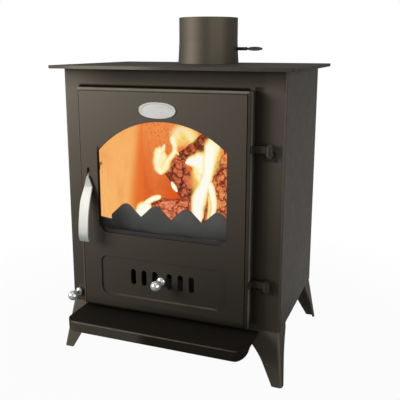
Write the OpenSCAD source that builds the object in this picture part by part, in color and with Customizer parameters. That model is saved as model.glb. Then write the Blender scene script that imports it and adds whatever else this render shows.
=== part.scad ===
// Wood-burning stove: a folded steel body on four splayed legs, with a glazed door,
// a sliding air control, a pull rod, a flue damper, a brick-lined firebox and its fire bed.
// Front of the stove faces -Y. All lengths are millimetres.

/* [Body] */
// Width of the folded body
body_w = 446; // [380:1:600]
// Depth of the body from the front face to the back face
body_d = 296; // [280:1:420]
// Height of the body, without the legs and the top plate
body_h = 483; // [470:1:640]
// Thickness of the folded body sheet
body_sheet = 3; // [2:0.5:4]
// Outside radius of the two front bends
body_bend = 6; // [4.5:0.5:12]
// Thickness of the floor plate inside the body
base_t = 4; // [3:0.5:6]

/* [Top plate] */
// How far the top plate stands out at each side
plate_side = 24; // [10:1:40]
// How far the top plate stands out at the front
plate_front = 23; // [10:1:40]
// How far the top plate stands out at the back
plate_back = 24; // [24:1:40]
// Thickness of the top plate
plate_t = 6; // [4:0.5:10]
// Corner radius of the top plate
plate_corner = 12; // [3:1:25]

/* [Legs] */
// Height of the legs
leg_h = 99; // [80:1:160]
// Thickness of the leg sheet
leg_sheet = 4; // [3:0.5:6]
// Outside radius of the bend in each leg
leg_bend = 7; // [5:0.5:10]
// How far each foot splays sideways past the body
leg_splay_x = 13; // [0:1:20]
// How far each foot splays forwards or backwards past the body
leg_splay_y = 23; // [0:1:23]
// Width of the front flank of a leg under the body
leg_top_w = 75; // [60:1:75]
// Width of the front flank at the foot
leg_foot_w = 20; // [16:1:30]
// Width of a side flank as a share of the front flank
leg_side_share = 0.68; // [0.5:0.01:0.8]

/* [Flue] */
// Outside diameter of the flue spigot
flue_d = 125; // [110:1:150]
// Height of the flue collar above the top plate
flue_h = 95; // [80:1:120]
// Distance of the flue axis from the front of the body
flue_from_front = 219; // [150:1:222]
// Wall of the flue collar
flue_wall = 4; // [3:0.5:6]
// How much the collar widens from the spigot down to its foot
flue_flare = 2.4; // [1:0.1:5]
// Height of the flared foot of the collar
flue_flare_h = 45; // [40:1:55]
// Height of the damper spindle above the top plate
spindle_up = 31; // [20:1:31]
// Diameter of the damper spindle
spindle_d = 7; // [5:0.5:10]
// How far the spindle and its grip stand out past the flue axis
spindle_reach = 119; // [105:1:140]

/* [Door] */
// Width of the body front left of the door, where the pull rod comes out
frame_left = 44.5; // [44:0.5:60]
// Width of the body front right of the door, where the hinges sit
frame_right = 55.5; // [50:0.5:70]
// Height of the body front above the door
frame_top = 33.5; // [30:0.5:60]
// Height of the body front below the door
door_lift = 10; // [8:1:14]
// How far the door front stands out from the body front
door_stand = 30; // [28:0.5:36]
// Thickness of the door sheet
door_sheet = 3; // [2:0.5:3.5]
// Outside radius of the folds round the door front
door_bend = 5; // [4:0.5:8]
// Width of the fine groove that sets off the flat of the door front
door_groove = 1; // [0.6:0.1:1.5]
// How far the door laps over the frame round the opening
door_lap = 15.5; // [15.5:0.5:18]

/* [Window] */
// Width of the door front at each side of the window
win_side = 42.75; // [42.75:0.25:70]
// Sideways offset of the window, slots and badge from the door's centre
mid_shift = 1.25; // [-3:0.25:3]
// Height of the window's lower edge above the body's lower edge
win_low = 167.5; // [150:0.5:180]
// Distance of the window's crown below the door's upper edge
win_top = 59.5; // [56:0.5:90]
// Radius of the arched upper edge
win_arch_r = 182; // [160:1:260]
// Sideways offset of the arch from the middle of the window
win_arch_shift = 5; // [0:0.5:8]
// Radius of the lower corners
win_corner = 18; // [6:1:30]
// Thickness of the ceramic glass
glass_t = 4; // [3:0.5:5]
// How far the glass laps behind the door sheet
glass_lap = 11; // [8:0.5:11]

/* [Badge] */
// Width of the bare oval badge
badge_w = 73; // [50:1:90]
// Height of the badge
badge_h = 29.5; // [20:0.5:32]
// Distance of the badge centre below the door's upper edge
badge_down = 38.5; // [36:0.5:40]
// Sideways offset of the badge from the middle of the window
badge_shift = -4; // [-6:0.5:6]

/* [Air slots] */
// Width of the door front at each side of the pressed panel
panel_side = 42.25; // [30:0.25:60]
// Height of the pressed panel
panel_h = 79; // [70:1:90]
// Height of the panel's centre above the body's lower edge
panel_z = 80; // [75:0.5:90]
// Corner radius of the pressed panel
panel_corner = 13; // [6:1:20]
// Depth of the pressing
panel_depth = 2.2; // [1:0.1:2.5]
// Width of one air slot
slot_w = 11.3; // [8:0.1:11.4]
// Height of one air slot
slot_h = 32.5; // [24:0.5:40]
// Distance between neighbouring slots
slot_pitch = 22.9; // [22.9:0.1:26]
// Distance of the two middle slots from the middle of the panel
slot_first = 15.3; // [15.3:0.1:18]
// How far the slots and the knob sit above the panel's centre
slot_up = 2; // [0:0.5:6]

/* [Knobs] */
// Diameter of the chrome ball knobs
ball_d = 20; // [16:1:26]
// Diameter of the bead at the foot of a knob
bead_d = 17; // [12:1:19]
// Distance of a ball's centre from the face behind it
ball_stand = 28; // [22:1:36]
// Diameter of the control rods
rod_d = 8; // [6:0.5:9]
// Distance of the pull rod from the body's left side
pull_inset = 17; // [15:0.5:18]
// Height of the pull rod above the body's lower edge
pull_z = 21; // [18:1:28]

/* [Handle] */
// Width of the handle strip
handle_w = 20; // [16:1:26]
// Thickness of the handle strip
handle_t = 3; // [3:0.5:4.5]
// Distance of the handle's pivot below the door's upper edge
handle_down = 161; // [150:1:190]
// Distance of the handle's centre line from the door's left edge
handle_inset = 21.5; // [21:0.5:23]
// How far the handle stands out from the door at its fullest
handle_stand = 28; // [26:0.5:40]
// Drop from the pivot to the fullest point of the handle
handle_drop = 123; // [115:1:128]

/* [Hinges] */
// Distance of the hinge axis from the door's right edge
hinge_off = 30; // [26:0.5:34]
// Distance of the hinge axis in front of the body face
hinge_out = 10; // [10:0.5:12]
// Distance of the upper hinge arm's lower face below the door's upper edge
hinge_down = 108; // [60:0.5:140]
// Distance of the lower hinge arm's lower face above the door's lower edge
hinge_up = 79.5; // [50:0.5:120]
// Diameter of the hinge pins
hinge_pin_d = 7; // [5:0.5:8]

/* [Ash shelf] */
// How far the ash shelf stands out in front of the body
shelf_out = 96; // [60:1:120]
// Distance of the shelf's ends in from the body's sides
shelf_side = 38; // [20:1:70]
// Thickness of the shelf sheet
shelf_t = 3; // [2:0.5:4]
// Depth of the folded front lip
shelf_lip = 20; // [12:1:26]
// Corner radius of the shelf
shelf_corner = 25; // [15:1:30]

/* [Firebox] */
// Height of the grate's upper face above the body's lower edge
grate_z = 132; // [124:1:140]
// Distance from the top of the bricks to the top of the body
brick_down = 91; // [80:1:110]
// Thickness of the side bricks
brick_side_t = 30; // [20:1:35]
// Thickness of the back brick
brick_back_t = 25; // [20:1:30]
// Height of the log guard's peaks above the grate
guard_h = 87; // [70:1:100]
// Distance between the guard's peaks
guard_pitch = 64.7; // [58:0.1:68]
// Thickness of the baffle plate
baffle_t = 5; // [4:0.5:8]
// Height of the ash pan
pan_h = 70; // [40:1:75]

/* [Hidden] */

$fn = 96;
// Colours of the finishes
paint = "#3d3a36";
cast = "#2b2a29";
steel = "#8f8f8c";
stainless = "#dcdcd6";
chrome = "#e4e6e8";
vermiculite = "#e39a52";
black_rope = "#1c1b1a";
char_wood = "#7a3a22";

// Clearances: between pieces that move past each other, round a running pin, past a cut
gap = 0.3;
pin_gap = 0.06;
over = 1;

// Origin: the middle of the stove's plan, on the floor
front_y = -(body_d + plate_back - shelf_out) / 2;
inner_x = body_w / 2 - body_sheet;
back_t = body_sheet;
inner_back = body_d - back_t;
base_corner = body_bend;

// Bolts: shank radius, hole allowance, head radius and height
bolt_r = 3;
bolt_free = 0.3;
head_r = 5.5;
head_h = 4;
nut_h = 5;
bolt_end = 2;

// Legs: where the bolts pass, and the heights of the flank's bends
leg_bolt_in = 37;
leg_bolt_pitch = 26;
leg_bolt_back = 24;
leg_bolt_x = [body_w / 2 - leg_bolt_in, body_w / 2 - leg_bolt_in - leg_bolt_pitch];
leg_bolt_y = leg_bolt_back;
leg_flange_d = 46;
leg_flange_t = leg_sheet;
leg_knee_w_share = 0.575;
leg_shin_w_share = 0.465;
leg_knee_h_share = 0.385;
leg_shin_h_share = 0.625;
leg_cuff_h_share = 0.08;
leg_steps = 10;

// Shelf tongue under the body and its bolts
tongue_clear = 10;
shelf_w = body_w - 2 * shelf_side;
tongue_w = 2 * (body_w / 2 - leg_top_w - tongue_clear);
tongue_d = 34;
tongue_bolt_in = 20;
tongue_bolt_x = tongue_w / 2 - tongue_bolt_in;
tongue_bolt_y = tongue_d / 2;
lip_wrap = 28;
shelf_rear = 4;

// Door: plan and section
door_w = body_w - frame_left - frame_right;
door_h = body_h - frame_top - door_lift;
door_left = -body_w / 2 + frame_left;
door_right = door_left + door_w;
door_cx = (door_left + door_right) / 2;
door_top = door_lift + door_h;
door_mid_z = door_lift + door_h / 2;
groove_deep = 0.8;
mid_x = door_cx + mid_shift;
door_back_gap = 2;
door_inside = door_stand - door_sheet;
open_w = door_w - 2 * door_lap;
open_h = door_h - 2 * door_lap;
open_corner = 8;
rope_w = 9;
rib_t = 1.5;
rope_in = door_sheet + gap / 3;
rib_in = rope_in + rope_w + gap / 3;
rib_h = 9;
rope_r = rope_w / 2;
rope_deep = 12;

// Window
win_w = door_w - 2 * win_side;
win_crown = door_top - win_top;

// Glass
gasket_t = 2;
gasket_sill = 8;
glass_front = -door_inside + gasket_t;
glass_back = glass_front + glass_t;
clip_t = 2;
clip_w = 18;
clip_bite = 7;
clip_foot = 11;
clip_screw_r = 2;
clip_head_r = 4;
clip_head_h = 2;
clip_z_share = [0.15, 0.44];
clip_x_share = [-0.5, 0.5];
clip_angle = 22;

// Badge
badge_t = 2.5;
badge_rim = 2.2;
badge_sink = 1;
badge_z = door_top - badge_down;

// Air slide behind the pressed panel
panel_w = door_w - 2 * panel_side;
slide_travel = slot_w;
slot_z = panel_z + slot_up;
slide_t = 2;
slide_y = -door_inside + panel_depth + gap;
slide_margin = 12;
slide_w = 2 * (slot_first + 2 * slot_pitch + slot_w / 2 + slide_margin);
slide_cover = 7;
slide_h = slot_h + 2 * slide_cover;
stem_r = 3;
slide_guide_t = 2;
slide_guide_lip = 5;
knob_neck_r = 4.5;
bead_h = 8;

// Handle: blade, hook and keeper
handle_x = door_left + handle_inset;
handle_z = door_top - handle_down;
pivot_back = 10;
pivot_y = -door_stand + pivot_back;
pivot_r = 3;
pivot_boss_r = 6;
blade_t = 4;
blade_free = 1;
blade_slot_h = 21;
blade_slot_drop = 4;
blade_slot_z = handle_z - blade_slot_drop;
ear_t = 2.5;
ear_h = 14;
bow_r = 200;
bow_angle = 27.5;
curl_r = 28;
curl_angle = 28;
tip_out = 4.6;
tip_off = 0.6;
tip_low = 19;
tip_drop = 11;
tang_top = 6.3;
tang_low = 13;
tang_neck = 5;
hook_up = 4;
hook_down = 5;
keeper_r = 3.5;
keeper_gap = 0.5;
keeper_y = 9;
keeper_plate = 3;
hook_reach = keeper_y + keeper_r + keeper_gap - pivot_y;
taper_h = 45;
taper_mid_h = 20;
taper_mid_w = 2.8;

// Hinges
arm_t = 12.5;
hinge_x = door_right + hinge_off;
hinge_z = door_top - hinge_down;
hinge_low_z = door_lift + hinge_up;
leaf_t = 3;
leaf_front = 4;
lug_t = 4;
barrel_r = 6.5;
lug_r = 7;
pad_w = 20;
bracket_plate = 3;
bracket_drop = 12;
pin_below = 3.5;
pin_cap_h = 2;
pin_cap_r = 5;
arm_half = 4;

// Firebox
brick_stand = 7;
brick_h = body_h - brick_down - grate_z;
brick_face_x = inner_x - brick_stand - brick_side_t;
brick_front_y = 14;
brick_chamfer = 6;
brick_back_gap = 2;
fire_back_y = inner_back - brick_back_gap - brick_back_t;
frame_t = 6;
rail_h = 10;
rail_w = 15;
rail_t = 3;
grate_rim_x = 73;
grate_rim_y = 39;
grate_w = 2 * (brick_face_x - grate_rim_x);
grate_d = fire_back_y - brick_front_y - 2 * grate_rim_y;
grate_y = (brick_front_y + fire_back_y) / 2;
grate_lip = 5;
grate_lip_t = 3;
grate_bar = 8;
grate_gap = 9;
grate_depth = 12;
guard_t = 3;
guard_y = 8;
guard_foot = 16;
guard_round = 14;
guard_flank = 43;
guard_steps = 6;
guard_valley = guard_round * (1 - cos(guard_flank))
  + (guard_pitch / 2 - guard_round * sin(guard_flank)) * tan(guard_flank);
guard_end_drop = 35;
guard_peaks = 4;
guard_lug_w = brick_face_x - 3;
baffle_front = 70;
spacer_h = 15;

// Ash pan and its runners
sill_gap = 1;
runner_h = door_lift + door_lap + sill_gap - base_t;
runner_w = 12;
pan_side = 7;
pan_w = open_w - 2 * pan_side;
pan_y = 12;
pan_back = 22;
pan_d = inner_back - pan_y - pan_back;
pan_t = 1.5;
pan_grip = 20;

// Pull rod and air shutter
pull_x = -body_w / 2 + pull_inset;
shutter_t = 2;
shutter_w = 21;
shutter_y = 40;
shutter_l = 70;
shutter_tab = 3;
shutter_tab_w = 12;
inlet_w = 12;
inlet_l = 28;
guide_lip = 3;
rod_r = rod_d / 2;

// Airwash duct behind the top of the door frame
wash_h = 42;
wash_z = body_h - wash_h;
wash_d = 27;
wash_t = 2;

// Damper
flue_r = flue_d / 2;
bore_r = flue_r - flue_wall;
disc_clear = 1.5;
disc_r = bore_r - disc_clear;
disc_t = 2.5;
disc_off = spindle_d / 2 + 0.7 * gap;
disc_screw_r = 2;
disc_screw_x = disc_r / 2;
spindle_in = flue_r - flue_wall / 2;
grip_l = 37;
grip_nose = 5;
grip_h = 8.5;
grip_t = 3.5;

// Fire bed: log radii as shares of the firebox depth, ends as shares of the firebox
fire_w = 2 * brick_face_x;
fire_d = fire_back_y - brick_front_y;
low_thick_share = 0.15;
back_thick_share = 0.115;
lean_thick_share = 0.09;
stand_thick_share = 0.105;
top_thick_share = 0.065;
low_log_share = [[-0.25, 0.32], [0.02, 0.32]];
back_log_share = [[-0.34, 0.72], [0.36, 0.72]];
lean_share = [[0.085, 0.50, 0.03], [-0.16, 0.50, 0.575]];
stand_share = [[0.18, 0.405, 0.015], [0.213, 0.475, 0.84]];
top_share = [[-0.09, 0.54, 0.605], [0.18, 0.54, 0.91]];

// Shared shapes

module place() {
  translate([0, front_y, leg_h]) children();
}

// Rectangle about its centre with true arcs at the corners
module round_rect(w, d, r) {
  square([w - 2 * r, d], center = true);
  square([w, d - 2 * r], center = true);
  for (x = [-1, 1], y = [-1, 1]) translate([x * (w / 2 - r), y * (d / 2 - r)]) circle(r);
}

// Upright slot with round ends, about its centre
module slot_shape(w, h) {
  square([w, h - w], center = true);
  for (s = [-1, 1]) translate([0, s * (h - w) / 2]) circle(w / 2);
}

// Stands a flat outline up in the XZ plane and thickens it from y0 to y1
module upright(y0, y1) {
  translate([0, y1, 0]) rotate([90, 0, 0]) linear_extrude(y1 - y0) children();
}

// Turns an outline drawn as (y, z) about X and thickens it from x0 to x1
module sideways(x0, x1) {
  translate([x0, 0, 0]) rotate([90, 0, 90]) linear_extrude(x1 - x0) children();
}

module hex_head(h) {
  cylinder(r = head_r, h = h, $fn = 6);
}

// Bolt from below: hex head under z_low, shank to z_high, nut on top
module bolt_up(z_low, z_high) {
  translate([0, 0, z_low - head_h]) hex_head(head_h);
  translate([0, 0, z_low - head_h / 2])
    cylinder(r = bolt_r, h = z_high - z_low + head_h / 2 + nut_h + bolt_end);
  translate([0, 0, z_high]) hex_head(nut_h);
}

// Body outline in plan: round front bends and square back
module wrap_plan(inset, r, depth) {
  half = body_w / 2 - inset;
  translate([-half, inset + r]) square([2 * half, depth - inset - r]);
  translate([-half + r, inset]) square([2 * (half - r), r + over]);
  for (s = [-1, 1]) translate([s * (half - r), inset + r]) circle(r);
}

module opening_plan() {
  translate([door_cx, door_mid_z]) round_rect(open_w, open_h, open_corner);
}

module body_shell() {
  color(paint) place() difference() {
    linear_extrude(body_h) difference() {
      wrap_plan(0, body_bend, inner_back);
      wrap_plan(body_sheet, body_bend - body_sheet, inner_back + over);
    }
    upright(-over, body_sheet + over) opening_plan();
    translate([pull_x, -over, pull_z]) rotate([-90, 0, 0])
      cylinder(r = rod_r + pin_gap, h = body_sheet + 2 * over);
  }
}

module back_panel() {
  color(paint) place() translate([-body_w / 2, inner_back, 0]) cube([body_w, back_t, body_h]);
}

module leg_bolt_places() {
  for (sx = [-1, 1], y = [leg_bolt_y, body_d - leg_bolt_y], x = leg_bolt_x)
    translate([sx * x, y, 0]) children();
}

module shelf_bolt_places() {
  for (x = [-1, 0, 1]) translate([x * tongue_bolt_x, tongue_bolt_y, 0]) children();
}

module base_plate() {
  color(paint) place() difference() {
    translate([0, (body_sheet + inner_back) / 2, 0]) linear_extrude(base_t)
      round_rect(2 * inner_x, inner_back - body_sheet, base_corner);
    leg_bolt_places() translate([0, 0, -over]) cylinder(r = bolt_r + bolt_free, h = base_t + 2 * over);
    shelf_bolt_places() translate([0, 0, -over]) cylinder(r = bolt_r + bolt_free, h = base_t + 2 * over);
    translate([pull_x - inlet_w / 2, shutter_y + shutter_l - inlet_l - 2 * shutter_tab, -over])
      cube([inlet_w, inlet_l, base_t + 2 * over]);
  }
}

module top_plate() {
  plate_w = body_w + 2 * plate_side;
  plate_d = body_d + plate_front + plate_back;
  color(paint) place() difference() {
    translate([0, plate_d / 2 - plate_front, body_h]) linear_extrude(plate_t)
      round_rect(plate_w, plate_d, plate_corner);
    translate([0, flue_from_front, body_h - over])
      cylinder(r = bore_r + flue_wall / 2 + gap, h = plate_t + 2 * over);
  }
}

module at_flue() {
  place() translate([0, flue_from_front, body_h + plate_t]) children();
}

module flue_collar() {
  color(paint) at_flue() difference() {
    union() {
      cylinder(r1 = flue_r + flue_flare, r2 = flue_r, h = flue_flare_h);
      cylinder(r = flue_r, h = flue_h);
      translate([0, 0, -plate_t]) cylinder(r = bore_r + flue_wall / 2, h = plate_t + over);
    }
    translate([0, 0, -plate_t - over]) cylinder(r = bore_r, h = plate_t + flue_h + 2 * over);
    translate([-spindle_in - gap, 0, spindle_up]) rotate([0, 90, 0])
      cylinder(r = spindle_d / 2 + pin_gap, h = 2 * flue_d);
  }
}

module disc_screw_places() {
  for (s = [-1, 1]) translate([s * disc_screw_x, 0, spindle_up]) children();
}

module damper_disc() {
  color(cast) at_flue() difference() {
    translate([0, disc_off, spindle_up]) rotate([-90, 0, 0]) cylinder(r = disc_r, h = disc_t);
    disc_screw_places() rotate([-90, 0, 0]) cylinder(r = disc_screw_r, h = disc_off + disc_t + over);
  }
}

module damper_spindle() {
  lens_l = grip_l + grip_nose;
  lobe_r = (lens_l * lens_l / 4 + grip_h * grip_h / 4) / grip_h;
  rod_end = spindle_reach - grip_l;
  color(steel) at_flue() difference() {
    union() {
      translate([-spindle_in, 0, spindle_up]) rotate([0, 90, 0])
        cylinder(r = spindle_d / 2, h = spindle_in + rod_end + grip_h / 2);
      translate([rod_end + lens_l / 2, 0, spindle_up]) upright(-grip_t / 2, grip_t / 2)
        intersection() {
          translate([0, lobe_r - grip_h / 2]) circle(lobe_r);
          translate([0, grip_h / 2 - lobe_r]) circle(lobe_r);
          translate([-lens_l / 2, -grip_h / 2]) square([grip_l, grip_h]);
        }
    }
    disc_screw_places() rotate([90, 0, 0]) cylinder(r = disc_screw_r, h = spindle_d + over, center = true);
  }
}

module damper_screws() {
  color(steel) at_flue() disc_screw_places() {
    translate([0, -spindle_d / 2, 0]) rotate([-90, 0, 0])
      cylinder(r = disc_screw_r, h = spindle_d / 2 + disc_off + disc_t + disc_screw_r);
    translate([0, disc_off + disc_t, 0]) rotate([-90, 0, 0])
      cylinder(r = 2 * disc_screw_r, h = disc_screw_r);
  }
}

module baffle_plate() {
  half = brick_face_x + brick_side_t / 2;
  color(cast) place() translate([-half, baffle_front, grate_z + brick_h])
    union() {
      cube([2 * half, inner_back - brick_back_gap - baffle_front, baffle_t]);
      cube([2 * half, baffle_t, 4 * baffle_t]);
    }
}

// Side brick drawn in (y, z), with its upper edges bevelled
module brick_side() {
  length = fire_back_y - brick_front_y;
  c = brick_chamfer;
  color(vermiculite) place() difference() {
    translate([brick_face_x, brick_front_y, grate_z]) cube([brick_side_t, length, brick_h]);
    translate([brick_face_x, brick_front_y - over, grate_z + brick_h]) rotate([-90, 0, 0])
      cylinder(r = c, h = length + 2 * over, $fn = 4);
    translate([brick_face_x, brick_front_y, grate_z - over])
      cylinder(r = c, h = brick_h + 2 * over, $fn = 4);
  }
}

module brick_right() {
  brick_side();
}

module brick_left() {
  mirror([1, 0, 0]) brick_side();
}

module brick_back() {
  half = brick_face_x + brick_side_t;
  color(vermiculite) place() difference() {
    translate([-half, fire_back_y, grate_z]) cube([2 * half, brick_back_t, brick_h]);
    translate([-half - over, fire_back_y, grate_z + brick_h]) rotate([0, 90, 0])
      cylinder(r = brick_chamfer, h = 2 * (half + over), $fn = 4);
  }
}

module brick_spacers() {
  color(cast) place() for (s = [-1, 1], z = [grate_z + 2 * spacer_h, grate_z + brick_h - 2 * spacer_h])
    translate([s * (inner_x - brick_stand / 2), (brick_front_y + fire_back_y) / 2, z])
      cube([brick_stand, fire_d - 2 * spacer_h, spacer_h], center = true);
}

// Rounded peak of the guard about its own middle
function guard_peak() = [for (i = [-guard_steps : guard_steps]) let(a = guard_flank * i / guard_steps)
  [guard_round * sin(a), guard_h - guard_round * (1 - cos(a))]];

// Zigzag outline of the guard: rounded peaks and sharp valleys, with a lower lug at each end
function guard_edge() = [
  for (k = [0 : guard_peaks - 1]) each concat(
    [[(k - guard_peaks / 2) * guard_pitch, guard_h - guard_valley]],
    [for (p = guard_peak()) [p[0] + (k - (guard_peaks - 1) / 2) * guard_pitch, p[1]]]),
  [guard_peaks / 2 * guard_pitch, guard_h - guard_valley]];

module guard_plan() {
  end_x = guard_peaks * guard_pitch / 2;
  lug = guard_h - guard_end_drop;
  polygon(concat([[-guard_lug_w, 0], [-guard_lug_w, lug + 2 * guard_t], [-end_x, lug]], guard_edge(),
    [[end_x, lug], [guard_lug_w, lug + 2 * guard_t], [guard_lug_w, 0]]));
}

module log_guard() {
  color(cast) place() translate([0, 0, grate_z]) union() {
    upright(guard_y, guard_y + guard_t) guard_plan();
    translate([-guard_pitch * 2, guard_y, 0]) cube([4 * guard_pitch, guard_foot, guard_t]);
  }
}

module grate() {
  count = floor((grate_w - 2 * grate_lip - 2 * grate_bar) / (grate_bar + grate_gap));
  span = count * (grate_bar + grate_gap) - grate_bar;
  color(cast) place() translate([0, grate_y, 0]) difference() {
    union() {
      translate([0, 0, grate_z - grate_lip_t / 2])
        cube([grate_w + 2 * (grate_lip - gap), grate_d + 2 * (grate_lip - gap), grate_lip_t],
          center = true);
      translate([0, 0, grate_z - grate_depth / 2])
        cube([grate_w - 2 * gap, grate_d - 2 * gap, grate_depth], center = true);
    }
    for (i = [0 : count - 1]) translate([-span / 2 + i * (grate_bar + grate_gap), 0, 0])
      translate([grate_gap / 2, 0, grate_z - grate_depth - over]) linear_extrude(grate_depth + 2 * over)
        slot_shape(grate_gap, grate_d - 3 * grate_bar);
  }
}

module grate_frame() {
  front = body_sheet + over;
  depth = inner_back - front - over;
  color(cast) place() difference() {
    translate([-inner_x + over, front, grate_z - frame_t]) cube([2 * (inner_x - over), depth, frame_t]);
    translate([0, grate_y, grate_z]) cube([grate_w, grate_d, 4 * frame_t], center = true);
    translate([0, grate_y, grate_z])
      cube([grate_w + 2 * grate_lip, grate_d + 2 * grate_lip, 2 * grate_lip_t], center = true);
  }
}

module rail_right() {
  translate([inner_x - rail_w, 2 * brick_front_y, grate_z - frame_t - rail_t])
    cube([rail_w, fire_d, rail_t]);
  translate([inner_x - rail_t, 2 * brick_front_y, grate_z - frame_t - rail_h])
    cube([rail_t, fire_d, rail_h]);
}

module grate_rails() {
  color(paint) place() {
    rail_right();
    mirror([1, 0, 0]) rail_right();
  }
}

module ash_pan_runners() {
  color(paint) place() for (s = [-1, 1])
    translate([door_cx + s * (pan_w / 2 - runner_w) - runner_w / 2, tongue_d + head_r, base_t])
      cube([runner_w, pan_d - tongue_d, runner_h]);
}

module ash_pan() {
  z0 = base_t + runner_h;
  color(steel) place() translate([door_cx - pan_w / 2, pan_y, z0]) {
    difference() {
      cube([pan_w, pan_d, pan_h]);
      translate([pan_t, pan_t, pan_t]) cube([pan_w - 2 * pan_t, pan_d - 2 * pan_t, pan_h]);
      translate([pan_w / 2, 0, pan_h - pan_grip]) rotate([90, 0, 0])
        linear_extrude(4 * pan_t, center = true) round_rect(4 * pan_grip, pan_grip / 2, pan_grip / 5);
    }
  }
}

module shelf_plan(r) {
  half = shelf_w / 2;
  translate([-half + r, -shelf_out]) square([2 * (half - r), r]);
  translate([-half, r - shelf_out]) square([2 * half, shelf_out - r - shelf_rear]);
  for (s = [-1, 1]) translate([s * (half - r), r - shelf_out]) circle(r);
}

// Plain plate, a lip that follows its rounded front corners, and a tongue under the body
module ash_shelf() {
  half = shelf_w / 2 - shelf_t;
  r = shelf_corner - shelf_t;
  color(paint) place() difference() {
    union() {
      translate([0, 0, -shelf_t]) linear_extrude(shelf_t) shelf_plan(shelf_corner);
      translate([-tongue_w / 2, -shelf_rear - over, -shelf_t])
        cube([tongue_w, tongue_d + shelf_rear + over, shelf_t]);
      intersection() {
        translate([0, 0, -shelf_lip]) linear_extrude(shelf_lip) difference() {
          shelf_plan(shelf_corner);
          translate([-half + r, shelf_t - shelf_out]) square([2 * (half - r), shelf_out]);
          translate([-half, shelf_t + r - shelf_out]) square([2 * half, shelf_out]);
          for (s = [-1, 1]) translate([s * (half - r), shelf_t + r - shelf_out]) circle(r);
        }
        sideways(-shelf_w, shelf_w) polygon([[-shelf_out - over, 0], [-shelf_out - over, -shelf_lip],
          [-shelf_out + over, -shelf_lip], [-shelf_out + lip_wrap, -shelf_t], [-shelf_out + lip_wrap, 0]]);
      }
    }
    shelf_bolt_places() translate([0, 0, -shelf_t - over])
      cylinder(r = bolt_r + bolt_free, h = shelf_t + 2 * over);
  }
}

module shelf_bolts() {
  color(steel) place() shelf_bolt_places() bolt_up(-shelf_t, base_t);
}

// Flank width of a leg against its depth below the body
function leg_curve(t) = let(
  a = [leg_shin_w_share, leg_shin_h_share],
  b = [leg_knee_w_share, leg_knee_h_share],
  c = [1, leg_cuff_h_share])
  (1 - t) * (1 - t) * a + 2 * t * (1 - t) * b + t * t * c;

function leg_edge(splay, side) = concat(
  [[side * leg_foot_w - splay, -leg_h]],
  [for (i = [0 : leg_steps]) let(p = leg_curve(i / leg_steps))
    [side * leg_top_w * p[0] - splay * p[1], -leg_h * p[1]]],
  [[side * leg_top_w, 0]]);

// Bent angle section along its own axis, outer corner at the origin
module angle_section(reach) {
  r = leg_bend;
  difference() {
    union() {
      translate([-reach, 0]) square([reach - r, leg_sheet]);
      translate([-leg_sheet, r]) square([leg_sheet, reach - r]);
      intersection() {
        translate([-r, r]) circle(r);
        translate([-r, 0]) square(r);
      }
    }
    translate([-r, r]) circle(r - leg_sheet);
  }
}

// Right front leg, its corner under the body's corner
module leg_solid() {
  tilt_y = atan(leg_splay_x / leg_h);
  tilt_x = atan(leg_splay_y * cos(tilt_y) / leg_h);
  reach = 1.5 * leg_top_w;
  far = leg_splay_x + leg_splay_y + leg_top_w;
  difference() {
    union() {
      intersection() {
        translate([body_w / 2, 0, 0]) rotate([-tilt_x, -tilt_y, 0])
          translate([0, 0, -1.5 * leg_h]) linear_extrude(2 * leg_h) angle_section(reach);
        translate([body_w / 2, 0, 0]) upright(-far, far)
          polygon(concat([for (p = leg_edge(leg_splay_x, 1)) [-p[0], p[1]]], [[far, 0], [far, -leg_h]]));
        sideways(0, body_w)
          polygon(concat(leg_edge(leg_splay_y, leg_side_share), [[-far, 0], [-far, -leg_h]]));
      }
      translate([body_w / 2 - leg_top_w, leg_sheet, -leg_flange_t])
        cube([leg_top_w - leg_sheet, leg_flange_d, leg_flange_t]);
    }
    for (x = leg_bolt_x) translate([x, leg_bolt_y, -leg_flange_t - over])
      cylinder(r = bolt_r + bolt_free, h = leg_flange_t + 2 * over);
  }
}

module leg_rear_solid() {
  translate([0, body_d, 0]) mirror([0, 1, 0]) leg_solid();
}

module leg_front_right() {
  color(paint) place() leg_solid();
}

module leg_front_left() {
  color(paint) place() mirror([1, 0, 0]) leg_solid();
}

module leg_rear_right() {
  color(paint) place() leg_rear_solid();
}

module leg_rear_left() {
  color(paint) place() mirror([1, 0, 0]) leg_rear_solid();
}

module leg_bolts() {
  color(steel) place() leg_bolt_places() bolt_up(-leg_flange_t, base_t);
}

module airwash_channel() {
  half = inner_x - body_bend;
  color(paint) place() translate([-half, body_sheet, wash_z]) union() {
    cube([2 * half, wash_d, wash_t]);
    translate([0, wash_d - wash_t, 0]) cube([2 * half, wash_t, body_h - wash_z]);
  }
}

module bracket_solid(z) {
  top = z - gap;
  difference() {
    union() {
      translate([hinge_x - pad_w / 2, -bracket_plate, top - lug_t - bracket_drop])
        cube([pad_w, bracket_plate, lug_t + bracket_drop]);
      translate([hinge_x - lug_r, -hinge_out, top - lug_t]) cube([2 * lug_r, hinge_out, lug_t]);
      translate([hinge_x, -hinge_out, top - lug_t]) cylinder(r = lug_r, h = lug_t);
    }
    translate([hinge_x, -hinge_out, top - lug_t - over])
      cylinder(r = hinge_pin_d / 2, h = lug_t + 2 * over);
  }
}

module hinge_bracket_upper() {
  color(paint) place() bracket_solid(hinge_z);
}

module hinge_bracket_lower() {
  color(paint) place() bracket_solid(hinge_low_z);
}

module pin_solid(z) {
  low = z - gap - lug_t - pin_below;
  translate([hinge_x, -hinge_out, low]) cylinder(r = hinge_pin_d / 2, h = z + arm_t + gap - low);
  translate([hinge_x, -hinge_out, z + arm_t + gap]) cylinder(r = pin_cap_r, h = pin_cap_h);
}

module hinge_pin_upper() {
  color(steel) place() pin_solid(hinge_z);
}

module hinge_pin_lower() {
  color(steel) place() pin_solid(hinge_low_z);
}

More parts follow.
